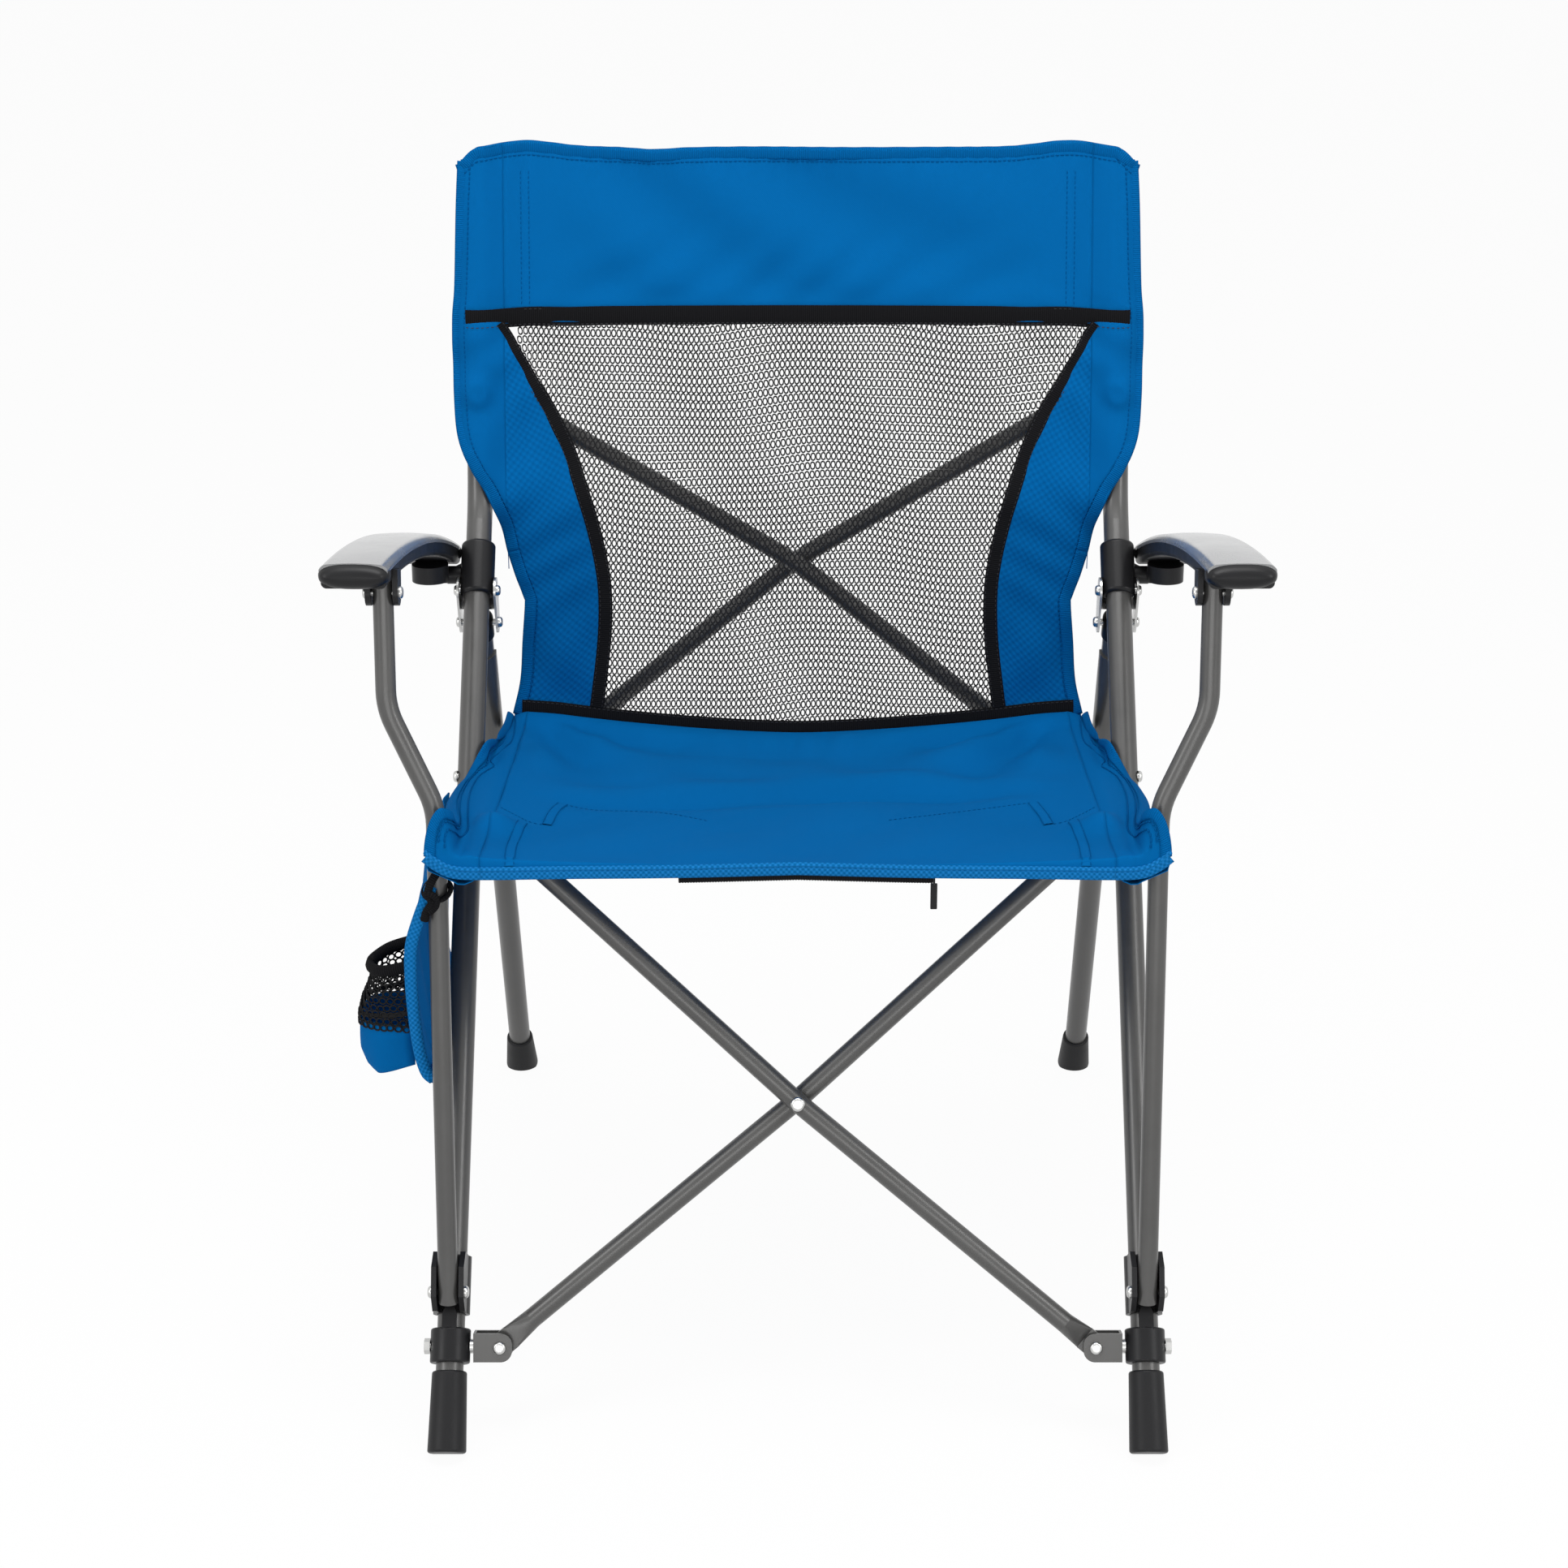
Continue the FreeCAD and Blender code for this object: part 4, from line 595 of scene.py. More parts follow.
def bead(length, depth):
    """One stitch: a low six-sided bead along X."""
    made = bmesh.new()
    ring = []
    for x, r in ((-0.5, 0.25), (-0.3, 1.0), (0.3, 1.0), (0.5, 0.25)):
        ring.append([made.verts.new((x * length, math.cos(a) * depth * r,
                                     math.sin(a) * depth * r * 0.6))
                     for a in (0, 1.05, 2.09, 3.14, 4.19, 5.24)])
    for a, b in zip(ring, ring[1:]):
        for k in range(6):
            made.faces.new((a[k], a[(k + 1) % 6], b[(k + 1) % 6], b[k]))
    made.faces.new(ring[0][::-1])
    made.faces.new(ring[-1])
    mesh = bpy.data.meshes.new("bead")
    bmesh.ops.recalc_face_normals(made, faces=made.faces)
    made.to_mesh(mesh)
    made.free()
    return mesh


def spread(name, unit, spots, ahead, faces, coat):
    """Copies of one small shape, laid on points by geometry nodes and made one plain mesh."""
    cloud = bpy.data.meshes.new(name + "_points")
    cloud.from_pydata([tuple(p) for p in spots], [], [])
    for label, values in (("ahead", ahead), ("face", faces)):
        data = cloud.attributes.new(label, "FLOAT_VECTOR", "POINT")
        data.data.foreach_set("vector", np.asarray(values, np.float32).ravel())
    holder = bpy.data.objects.new(name + "_holder", cloud)
    scene.collection.objects.link(holder)
    shape = bpy.data.objects.new(name + "_unit", unit)
    scene.collection.objects.link(shape)
    tree = bpy.data.node_groups.new(name + "_spread", "GeometryNodeTree")
    tree.interface.new_socket("Geometry", in_out="INPUT", socket_type="NodeSocketGeometry")
    unit_in = tree.interface.new_socket("Unit", in_out="INPUT", socket_type="NodeSocketObject")
    coat_in = tree.interface.new_socket("Finish", in_out="INPUT", socket_type="NodeSocketMaterial")
    tree.interface.new_socket("Geometry", in_out="OUTPUT", socket_type="NodeSocketGeometry")
    start, end = tree.nodes.new("NodeGroupInput"), tree.nodes.new("NodeGroupOutput")
    info = tree.nodes.new("GeometryNodeObjectInfo")
    tree.links.new(start.outputs["Unit"], info.inputs["Object"])
    first = tree.nodes.new("FunctionNodeAlignRotationToVector")
    first.axis = "X"
    second = tree.nodes.new("FunctionNodeAlignRotationToVector")
    second.axis = "Z"
    second.pivot_axis = "X"
    for label, node in (("ahead", first), ("face", second)):
        named = tree.nodes.new("GeometryNodeInputNamedAttribute")
        named.data_type = "FLOAT_VECTOR"
        named.inputs["Name"].default_value = label
        tree.links.new(named.outputs["Attribute"], node.inputs["Vector"])
    tree.links.new(first.outputs["Rotation"], second.inputs["Rotation"])
    place = tree.nodes.new("GeometryNodeInstanceOnPoints")
    tree.links.new(start.outputs["Geometry"], place.inputs["Points"])
    tree.links.new(info.outputs["Geometry"], place.inputs["Instance"])
    tree.links.new(second.outputs["Rotation"], place.inputs["Rotation"])
    real = tree.nodes.new("GeometryNodeRealizeInstances")
    tree.links.new(place.outputs["Instances"], real.inputs["Geometry"])
    paint = tree.nodes.new("GeometryNodeSetMaterial")
    tree.links.new(real.outputs["Geometry"], paint.inputs["Geometry"])
    tree.links.new(start.outputs["Finish"], paint.inputs["Material"])
    tree.links.new(paint.outputs["Geometry"], end.inputs["Geometry"])
    step = holder.modifiers.new("spread", "NODES")
    step.node_group = tree
    step[unit_in.identifier] = shape
    step[coat_in.identifier] = coat
    bpy.context.view_layer.update()
    grown = bpy.data.meshes.new_from_object(
        holder.evaluated_get(bpy.context.evaluated_depsgraph_get()))
    holder.modifiers.clear()
    made = bpy.data.objects.new(name, grown)
    scene.collection.objects.link(made)
    grown.name = name
    grown.polygons.foreach_set("use_smooth", [True] * len(grown.polygons))
    for old in (holder, shape):
        bpy.data.objects.remove(old)
    bpy.data.node_groups.remove(tree)
    return made


def side_frame(line):
    """Points of an (x, z) line on the cloth, with the way across it and out of it."""
    pts = back_point(line[:, 0], line[:, 1])
    ahead = np.gradient(line, axis=0)
    ahead /= np.linalg.norm(ahead, axis=1)[:, None]
    across = np.stack([-ahead[:, 1], 0 * ahead[:, 0], ahead[:, 0]], axis=1)
    out = np.tile(FORWARD, (len(line), 1))
    return pts, across, out


for s, side in ((-1, "right"), (1, "left")):
    upper = outer_line[outer_line[:, 1] > SLEEVE_END]
    lower = outer_line[outer_line[:, 1] <= SLEEVE_END + 0.004]
    for part, line, who in (("upper", upper, side), ("lower", lower, "middle")):
        inset = line.copy()
        inset[:, 0] -= 0.0045
        inset[:, 0] *= s
        pts, across, out = side_frame(inset)
        edge = tape("tape", pts, across, out, TAPE_W, blue_tape, crown=0.0009, gap=0.0006)
        seam = inset.copy()
        seam[:, 0] -= s * 0.0058
        spts, _, sout = side_frame(seam)
        sewn = stitches("sewn", spts + sout * 0.0007, sout, thread_blue)
        piece = thick(joined("%s_back_tape_%s" % (side, part), [edge, sewn]), 0.0004)
        ride_or_squash(piece, who)

for a, b, who in ((-0.2805, -SLEEVE_IN, "right"), (-SLEEVE_IN, SLEEVE_IN, "middle"),
                  (SLEEVE_IN, 0.2805, "left")):
    x = np.linspace(a, b, 200 if who == "middle" else 24)
    line = np.stack([x, top_edge(x) - 0.0040], axis=1)
    pts, across, out = side_frame(line)
    lean = np.tile(np.array([0.0, -0.97, 0.24]), (len(x), 1))
    edge = tape("tape", pts, across, lean, TAPE_W, blue_tape, crown=0.0009, gap=0.0007)
    over = pts + np.array([0, 0.0015, 0.0052])
    roll = sheet_mesh("roll", [over + np.array([0, -0.0026, -0.0012]),
                               over + np.array([0, -0.0014, 0.0002]),
                               over + np.array([0, 0.0008, 0.0003]),
                               over + np.array([0, 0.0022, -0.0012])], blue_tape)
    seam = np.stack([x, top_edge(x) - 0.0098], axis=1)
    spts, _, sout = side_frame(seam)
    sewn = stitches("sewn", spts + sout * 0.0007, sout, thread_blue)
    piece = thick(joined("back_top_tape_" + who, [edge, roll, sewn]), 0.0004)
    ride_or_squash(piece, who)

# Two rows of stitching close each sleeve's inner side.
rows_of_thread = []
for s in (-1, 1):
    for off in (0.2225, 0.2290):
        z = np.linspace(0.782, 0.889, 90)
        line = np.stack([np.full(90, s * off), z], axis=1)
        pts, _, out = side_frame(line)
        rows_of_thread.append(stitches("sewn", pts + out * 0.0007, out, thread_blue))
sleeve_seams = joined("back_sleeve_seams", rows_of_thread)
ride_or_squash(sleeve_seams, "middle")

# ---------------------------------------------------------------- back net
# Black knitted net with tall oval holes, sewn into the window. Every hole is cut in the mesh,
# and the rows wander a little, as knitted net does.
black_net = cloth_finish("black_net", (0.020, 0.020, 0.021), 0.0012, 0.0001, contrast=0.3)
HOLE_W, ROW_H = 0.0043, 0.0069


def net_cell(wide, tall, open_w, open_h, points=12, cut=2.3, roll=0.0003):
    """Yarn round one oval hole, with cut corners that leave small gaps between cells."""
    made = bmesh.new()
    inner, mid, outer = [], [], []
    for k in range(points):
        a = 2 * math.pi * k / points
        x, y = math.cos(a) * open_w / 2, math.sin(a) * open_h / 2
        grow = (abs(x / (wide / 2)) ** cut + abs(y / (tall / 2)) ** cut) ** (-1 / cut)
        inner.append(made.verts.new((x, y, 0.0)))
        outer.append(made.verts.new((x * grow, y * grow, 0.0)))
        mid.append(made.verts.new((x * (1 + grow) / 2, y * (1 + grow) / 2, roll)))
    for a, b in ((outer, mid), (mid, inner)):
        for k in range(points):
            n = (k + 1) % points
            made.faces.new((a[k], a[n], b[n], b[k]))
    mesh = bpy.data.meshes.new("cell")
    made.to_mesh(mesh)
    made.free()
    return mesh


spots, ups, faces = [], [], []
for row in range(-2, 54):
    columns = np.arange(-58, 59)
    x = columns * HOLE_W + row * 0.0004
    z = 0.4330 + row * ROW_H + 0.0035 * np.sin(26 * x + 0.8) + 0.0012 * np.sin(57 * x + row * 0.2)
    reach = edge_x(z, window_line) + 0.004
    ok = (np.abs(x) < np.minimum(reach, 0.2450)) & (z > window_low(x) - 0.001) & (z < 0.775)
    x, z = x[ok], z[ok]
    e = 0.0005
    y = back_depth(x, z) + 0.0004
    dx = (back_depth(x + e, z) - back_depth(x - e, z)) / (2 * e)
    dz = (back_depth(x, z + e) - back_depth(x, z - e)) / (2 * e)
    spots.append(np.stack([x, y, z], 1))
    ups.append(np.stack([np.ones(len(x)), dx, 0 * dx], 1))
    faces.append(np.stack([dx, -np.ones(len(x)), dz], 1))
net = spread("back_net", net_cell(HOLE_W * 1.03, ROW_H * 1.03, 0.0026, 0.0046, points=10,
                                 cut=2.9),
             np.concatenate(spots), np.concatenate(ups), np.concatenate(faces), black_net)
ride_or_squash(net, "middle")
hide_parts("back_mesh")

# ---------------------------------------------------------------- back bands
# Black ribbed tape covers the net's seams: across the top, down both sides and along the
# bottom, where the back meets the seat.
black_tape = cloth_finish("black_tape", (0.009, 0.009, 0.010), 0.0017, 0.00016, pattern="Ribs",
                          contrast=0.3)
thread_black = cloth_finish("black_thread", (0.035, 0.035, 0.038), 0.0006, 0.00003)
BAND_Z = 0.7726
bands = []
for a, b, who in ((-0.2745, -SLEEVE_IN, "right"), (-SLEEVE_IN, SLEEVE_IN, "middle"),
                  (SLEEVE_IN, 0.2745, "left")):
    x = np.linspace(a, b, 160 if who == "middle" else 20)
    pts, across, out = side_frame(np.stack([x, np.full(len(x), BAND_Z)], axis=1))
    band = tape("band", pts, across, out, 0.0160, black_tape, gap=0.0012)
    rows_of_thread = []
    for off in (-0.0062, 0.0062):
        spts, _, sout = side_frame(np.stack([x, np.full(len(x), BAND_Z + off)], axis=1))
        rows_of_thread.append(stitches("sewn", spts + sout * 0.0017, sout, thread_black))
    piece = joined("back_band_top_" + who, [band] + rows_of_thread)
    if who == "middle":
        bands.append(piece)
    else:
        ride_or_squash(piece, who)
for s in (-1, 1):
    line = window_line[(window_line[:, 1] > 0.4420) & (window_line[:, 1] < 0.7680)].copy()
    line[:, 0] *= s
    pts, across, out = side_frame(line)
    bands.append(tape("band", pts, across, out, 0.0118, black_tape, gap=0.0009))
    for off in (-0.0044, 0.0044):
        bands.append(stitches("sewn", pts + across * off + out * 0.0015, out, thread_black))
x = np.linspace(-0.236, 0.236, 180)
line = np.stack([x, window_low(x)], axis=1)
pts, across, out = side_frame(line)
bands.append(tape("band", pts, across, out, 0.0120, black_tape, gap=0.0015))
bands.append(stitches("sewn", pts + across * 0.0044 + out * 0.0021, out, thread_black))
back_bands = joined("back_bands", bands)
ride_or_squash(back_bands, "middle")

# ---------------------------------------------------------------- seat cloth
# One blue panel over both rails, sewn under each as a sleeve. It sags between them, and its
# loose hem rucks up where it meets the arm posts and the back posts.
RAIL_X = 0.2455
RAIL_R = 0.0077
SEAT_IN = 0.232            # the part outside this goes with its rail
seat_edge = spline([
    (0.2712, -0.2765, 0.4575), (0.2706, -0.2748, 0.4660), (0.2688, -0.2728, 0.4760),
    (0.2655, -0.2702, 0.4850), (0.2608, -0.2662, 0.4900), (0.2562, -0.2600, 0.4870),
    (0.2545, -0.2520, 0.4825), (0.2560, -0.2380, 0.4740), (0.2605, -0.2100, 0.4620),
    (0.2680, -0.1650, 0.4520),
    (0.2718, -0.1150, 0.4425), (0.2705, -0.0720, 0.4375), (0.2665, -0.0530, 0.4375),
    (0.2620, -0.0410, 0.4440), (0.2572, -0.0310, 0.4525), (0.2530, -0.0215, 0.4585),
    (0.2508, 0.0052, 0.4520), (0.2488, 0.0302, 0.4430), (0.2466, 0.0602, 0.4365),
    (0.2445, 0.0852, 0.4352), (0.2437, 0.1150, 0.4360)], 170)
band_line = spline([(0, 0.4478), (0.088, 0.4455), (0.168, 0.4447), (0.230, 0.4438),
                    (0.251, 0.4450), (0.262, 0.4502), (0.2712, 0.4575)], 120)


def rail_z(y):
    """Height of the rail's axis."""
    return 0.4324 - (np.asarray(y, float) + 0.0302) * math.tan(math.radians(3.4))


def seat_height(x, y, v):
    """Upper face of the cloth between the rails' outer sides; v runs from front to rear."""
    a = np.abs(x)
    crown = rail_z(y) + RAIL_R + 0.0014
    w = np.clip(1 - (a / 0.2375) ** 2, 0, 1)
    depth = np.interp(v, [0, 0.06, 0.3, 0.6, 0.85, 1.0],
                      [0.0065, 0.009, 0.017, 0.022, 0.019, 0.010])
    z = crown - depth * w ** 0.7
    near = np.hypot(a - 0.245, y - 0.140)
    turn = np.arctan2(0.140 - y, 0.245 - a)
    z = z + 0.0060 * np.sin(turn * 10.5 + 0.6 + x * 4) * np.exp(-((near - 0.125) / 0.075) ** 2) \
        * smoothstep(0.235, 0.19, a)
    ends = np.exp(-(((a - 0.228) / 0.016) ** 2 + ((y + 0.188) / 0.017) ** 2))
    z = z + 0.0105 * ends
    crease = -0.062 + 0.020 * np.sin(x * 11 + 0.6) - 0.5 * x * x
    z = z - 0.0065 * np.exp(-((y - crease) / 0.018) ** 2) * smoothstep(0.22, 0.15, a)
    z = z + 0.0040 * np.exp(-((y - crease - 0.038) / 0.02) ** 2) * smoothstep(0.2, 0.12, a)
    z = z + (0.0018 * np.sin(31 * x + 43 * y + 2.0 * np.sin(17 * y)) +
             0.0013 * np.sin(-53 * x + 37 * y + 1.0)) * w ** 0.5 * smoothstep(0.0, 0.12, v)
    rear = 0.0024 * np.sin(x * 150 + 2 * np.sin(x * 33)) * smoothstep(0.80, 0.97, v)
    return z + rear * w


def seat_rows(xs):
    """Rows of the upper face, from front to rear, at the given places across."""
    rows = []
    y0, y1 = seat_edge[0, 1], seat_edge[-1, 1]
    for e in seat_edge:
        v = (e[1] - y0) / (y1 - y0)
        a = np.abs(xs)
        front_y = -0.2778 + 0 * a
        front_z = np.interp(a, band_line[:, 0], band_line[:, 1]) + 0.0030
        rear_z = window_low(a) - 0.0050
        rear_y = back_depth(a, rear_z)
        y = front_y + (rear_y - front_y) * v
        z = seat_height(xs, y, v)
        z = front_z + (z - front_z) * float(smoothstep(0.0, 0.010, v))
        z = z + (rear_z - z) * float(smoothstep(0.90, 1.0, v)) ** 1.4
        rows.append(np.stack([xs, y, z], -1))
    return np.array(rows)


xs = np.linspace(-SEAT_IN, SEAT_IN, 151)
middle_rows = seat_rows(xs)
seat_cloth = sheet_mesh("seat_cloth", middle_rows, blue_cloth)


def seat_over(s):
    """Rows of one sleeve's upper face: over the rail's crown and out to the hem."""
    rows = []
    start = seat_rows(np.array([SEAT_IN]))[:, 0]
    for e, p in zip(seat_edge, start):
        front_z = np.interp(RAIL_X, band_line[:, 0], band_line[:, 1]) + 0.0030
        v = (e[1] - seat_edge[0, 1]) / (seat_edge[-1, 1] - seat_edge[0, 1])
        crown = rail_z(p[1]) + RAIL_R + 0.0016
        crown = front_z + (crown - front_z) * float(smoothstep(0.0, 0.010, v))
        top = np.array([RAIL_X, p[1], crown])
        shoulder = np.array([RAIL_X + 0.004, p[1], crown - 0.0006])
        row = [p + (top - p) * t + np.array([0, 0, 0.0012 * math.sin(math.pi * t)])
               for t in np.linspace(0, 1, 7)[:-1]] + [top]
        for t in np.linspace(0, 1, 14)[1:]:
            q = shoulder + (e - shoulder) * t
            q[2] += 0.0020 * math.sin(math.pi * t)
            row.append(q)
        rows.append(row)
    rows = np.array(rows)
    rows[:, :, 0] *= s
    return rows


def seat_under(s):
    """Lower face of the sleeve, back under the rail to its seam."""
    rows = []
    start = seat_rows(np.array([0.2265]))[:, 0]
    for e, p in zip(seat_edge, start):
        low = rail_z(p[1]) - RAIL_R - 0.0022
        outside = smoothstep(-0.088, -0.070, e[1])
        ex = e[0] * (1 - outside) + min(e[0], 0.2524) * outside
        at_arm = math.exp(-((e[1] + 0.2535) / 0.018) ** 2)
        ex = ex * (1 - at_arm) + 0.2540 * at_arm if e[1] > -0.268 else ex
        ez = min(e[2], rail_z(p[1]) + 0.006) - 0.0015
        row = []
        for x, z in ((0.2265, p[2] - 0.0012), (0.2320, low + 0.006), (0.2375, low + 0.0012),
                     (0.2430, low - 0.0012), (0.2480, low - 0.0010), (0.2510, low + 0.001)):
            row.append((x, p[1], z))
        row.append((max(ex - 0.002, 0.2515), (p[1] + e[1]) / 2, (low + ez) / 2 + 0.002))
        row.append((max(ex - 0.0005, 0.2520), e[1], ez))
        rows.append(row)
    rows = np.array(rows)
    rows[:, :, 0] *= s
    return rows


thick(seat_cloth, 0.0010)
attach(seat_cloth, "right_rail")


def seat_squash(piece):
    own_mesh(piece)


seat_squash(seat_cloth)
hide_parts("seat_fabric")

for s, side in ((-1, "right"), (1, "left")):
    over = sheet_mesh("over", seat_over(s), blue_cloth, flip=s < 0)
    under = sheet_mesh("under", seat_under(s), blue_cloth, flip=s > 0)
    hem = seat_edge.copy()
    hem[:, 0] *= s
    ahead = np.gradient(hem, axis=0)
    ahead /= np.linalg.norm(ahead, axis=1)[:, None]
    rowset = seat_over(s)
    inward = rowset[:, -4] - rowset[:, -1]
    inward /= np.linalg.norm(inward, axis=1)[:, None]
    upward = np.cross(ahead, inward) * s
    upward[upward[:, 2] < 0] *= -1
    for _ in range(12):
        upward[1:-1] = (upward[:-2] + upward[1:-1] * 2 + upward[2:]) / 4
        inward[1:-1] = (inward[:-2] + inward[1:-1] * 2 + inward[2:]) / 4
    upward /= np.linalg.norm(upward, axis=1)[:, None]
    inward /= np.linalg.norm(inward, axis=1)[:, None]
    pieces = [over, under]
    pieces.append(tape("hem", hem + inward * 0.0035, inward, upward, 0.0085, blue_tape,
                       crown=0.0010, gap=0.0006))
    for back_in in (0.0100, 0.0165):
        t = []
        for row in rowset:
            run = np.r_[0, np.cumsum(np.linalg.norm(np.diff(row[::-1], axis=0), axis=1))]
            d = min(back_in, run[-1])
            t.append([np.interp(d, run, row[::-1][:, k]) for k in range(3)])
        t = np.array(t)
        pieces.append(stitches("sewn", t[6:] + upward[6:] * 0.0009, upward[6:], thread_blue))
    sleeve = joined(side + "_seat_sleeve", pieces)
    thick(sleeve, 0.0008)
    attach(sleeve, side + "_rail")

# ---------------------------------------------------------------- seat front edge
# Coarse blue band bound over the front edge, and the black zip tape sewn under it.
band_cloth = cloth_finish("blue_band", (0.0, 0.140, 0.40), 0.0040, 0.0004, contrast=0.25,
                          twin=0.06)
half = np.stack([band_line[:, 0], np.full(len(band_line), -0.2787), band_line[:, 1]], axis=1)
full = np.vstack([half[::-1] * np.array([-1, 1, 1]), half[1:]])


def front_strip(name, line, width, coat, keep_x, face=(0, -1, 0)):
    """Tape along the front edge, where keep_x says."""
    ahead = np.gradient(line, axis=0)
    ahead /= np.linalg.norm(ahead, axis=1)[:, None]
    face_at = np.tile(np.array(face, float), (len(line), 1))
    across = np.cross(ahead, face_at)
    across /= np.linalg.norm(across, axis=1)[:, None]
    pick = keep_x(line[:, 0])
    return tape(name, line[pick], -across[pick], face_at[pick], width, coat, crown=0.0010)


for who, keep_x in (("right", lambda x: x <= -SEAT_IN + 0.002),
                    ("middle", lambda x: np.abs(x) <= SEAT_IN + 0.001),
                    ("left", lambda x: x >= SEAT_IN - 0.002)):
    bits = [front_strip("band", full, 0.0074, band_cloth, keep_x)]
    roll = full + np.array([0, 0.0006, 0.0036])
    bits.append(front_strip("roll", roll, 0.0040, band_cloth, keep_x, (0, -0.45, 0.89)))
    if who == "middle":
        x = np.linspace(-0.0870, 0.0985, 70)
        z = np.interp(np.abs(x), band_line[:, 0], band_line[:, 1]) - 0.0054
        line = np.stack([x, np.full(len(x), -0.2768), z], axis=1)
        bits.append(front_strip("zip_tape", line, 0.0052, black_tape, lambda x: x > -9))
        teeth = np.stack([x, np.full(len(x), -0.2772), z - 0.0022], axis=1)
        bits.append(stitches("teeth", teeth, np.tile([0, -1.0, 0], (len(x), 1)), thread_black,
                             length=0.0011, pitch=0.0020, depth=0.0007))
    piece = thick(joined("seat_front_band_" + who, bits), 0.0006)
    if who == "middle":
        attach(piece, "right_rail")
        seat_squash(piece)
    else:
        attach(piece, who + "_rail")

# ---------------------------------------------------------------- seat patches
# Stepped reinforcement patches sewn on behind the front corners: two raised strips and the
# seams between them.
verts = middle_rows.reshape(-1, 3)
n, m = middle_rows.shape[:2]
quads = [(i * m + j, i * m + j + 1, (i + 1) * m + j + 1, (i + 1) * m + j)
         for i in range(n - 1) for j in range(m - 1)]
seat_tree = BVHTree.FromPolygons([tuple(v) for v in verts], quads)


def on_seat(line):
    """Drops an (x, y) line onto the seat: places and the way out of the cloth."""
    places, outs = [], []
    for x, y in line:
        hit, normal, _, _ = seat_tree.ray_cast(Vector((x, y, 0.6)), Vector((0, 0, -1)))
        if hit is None:
            hit, normal, _, _ = seat_tree.find_nearest(Vector((x, y, 0.44)))
        places.append(hit)
        outs.append(normal if normal.z > 0 else -normal)
    return np.array(places), np.array(outs)


def seat_strip(points, width):
    """A strip lying on the seat, with its line, the way across it and the way out."""
    pts, out = on_seat(spline(points, 40))
    ahead = np.gradient(pts, axis=0)
    ahead /= np.linalg.norm(ahead, axis=1)[:, None]
    return tape("strip", pts, np.cross(out, ahead), out, width, blue_cloth, crown=0.0008,
                gap=0.0007), pts, np.cross(out, ahead), out


bits = []
for s in (-1, 1):
    for points in ([(0.2100, -0.2760), (0.2120, -0.2300), (0.2100, -0.1720)],
                   [(0.1920, -0.1660), (0.1900, -0.1350), (0.1850, -0.1020)]):
        strip, pts, across, out = seat_strip([(s * x, y) for x, y in points], 0.0085)
        bits.append(strip)
        for off in (-0.0036, 0.0036):
            bits.append(stitches("sewn", pts + across * off + out * 0.0014, out, thread_blue))
    for points in ([(0.2300, -0.1400), (0.2180, -0.1520), (0.2070, -0.1640)],
                   [(0.2070, -0.1640), (0.1990, -0.1665), (0.1900, -0.1660)],
                   [(0.1840, -0.1005), (0.1300, -0.1120), (0.0700, -0.1300)]):
        pts, out = on_seat(spline([(s * x, y) for x, y in points], 40))
        bits.append(stitches("sewn", pts + out * 0.0007, out, thread_blue))
patches = joined("seat_patches", bits)
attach(patches, "right_rail")
seat_squash(patches)

# ---------------------------------------------------------------- organizer
# Bag on the sitter's right: a curved blue panel with a coarse bound edge, a netted cup pocket
# with a rolled black rim, and a knotted black strap that ties it to the arm post.
front_curve = spline([(-0.2700, 0.4300), (-0.2797, 0.4059), (-0.2866, 0.3833), (-0.2880, 0.3605),
                      (-0.2874, 0.3342), (-0.2846, 0.3011), (-0.2800, 0.2811), (-0.2750, 0.2750)],
                     60)
rows = []
for t in np.linspace(0, 1, 50):
    row = []
    for x, z in front_curve:
        belly = 1 - (2 * t - 1) ** 2
        z2 = z - 0.012 * belly * (0.41 - z) / 0.15 + 0.030 * smoothstep(0.55, 1.0, t) * (z < 0.30) \
            * (0.30 - z) / 0.025 * 0.4
        x2 = -0.2835 + (x + 0.2835) * (1 - 0.75 * smoothstep(0.0, 0.45, t)) \
            - 0.0035 * math.sin(t * math.pi) * math.sin((z - 0.27) / 0.16 * math.pi) \
            + 0.0012 * math.sin(34 * t + z * 70)
        row.append((x2, -0.2668 + 0.205 * t, z2))
    rows.append(row)
panel_rows = np.array(rows)
panel = thick(sheet_mesh("panel", panel_rows, blue_cloth), 0.0014)
edge3 = np.stack([front_curve[:, 0], np.full(60, -0.2672), front_curve[:, 1]], axis=1)


def ribbon_round(name, line, radius, coat, flat=1.0, ends=True):
    """Closed roll of cloth along a line."""
    sides = 10
    line = np.asarray(line, float)
    ahead = np.gradient(line, axis=0)
    ahead /= np.linalg.norm(ahead, axis=1)[:, None]
    ref = np.array([0.0, -1.0, 0.001])
    rows = []
    for k in range(sides + 1):
        a = 2 * math.pi * k / sides
        u = np.cross(ahead, ref)
        u /= np.linalg.norm(u, axis=1)[:, None]
        w = np.cross(u, ahead)
        rows.append(line + (u * math.cos(a) + w * math.sin(a) * flat) * radius)
    rows = np.array(rows)
    made = sheet_mesh(name, rows, coat, uv=np.stack(np.broadcast_arrays(
        np.r_[0, np.cumsum(np.linalg.norm(np.diff(line, axis=0), axis=1))][None, :],
        (np.arange(sides + 1) * radius * 0.6)[:, None]), axis=2))
    work = bmesh.new()
    work.from_mesh(made.data)
    bmesh.ops.remove_doubles(work, verts=work.verts, dist=1e-6)
    if ends:
        bmesh.ops.holes_fill(work, edges=[e for e in work.edges if e.is_boundary], sides=0)
    bmesh.ops.recalc_face_normals(work, faces=work.faces)
    work.to_mesh(made.data)
    work.free()
    return made


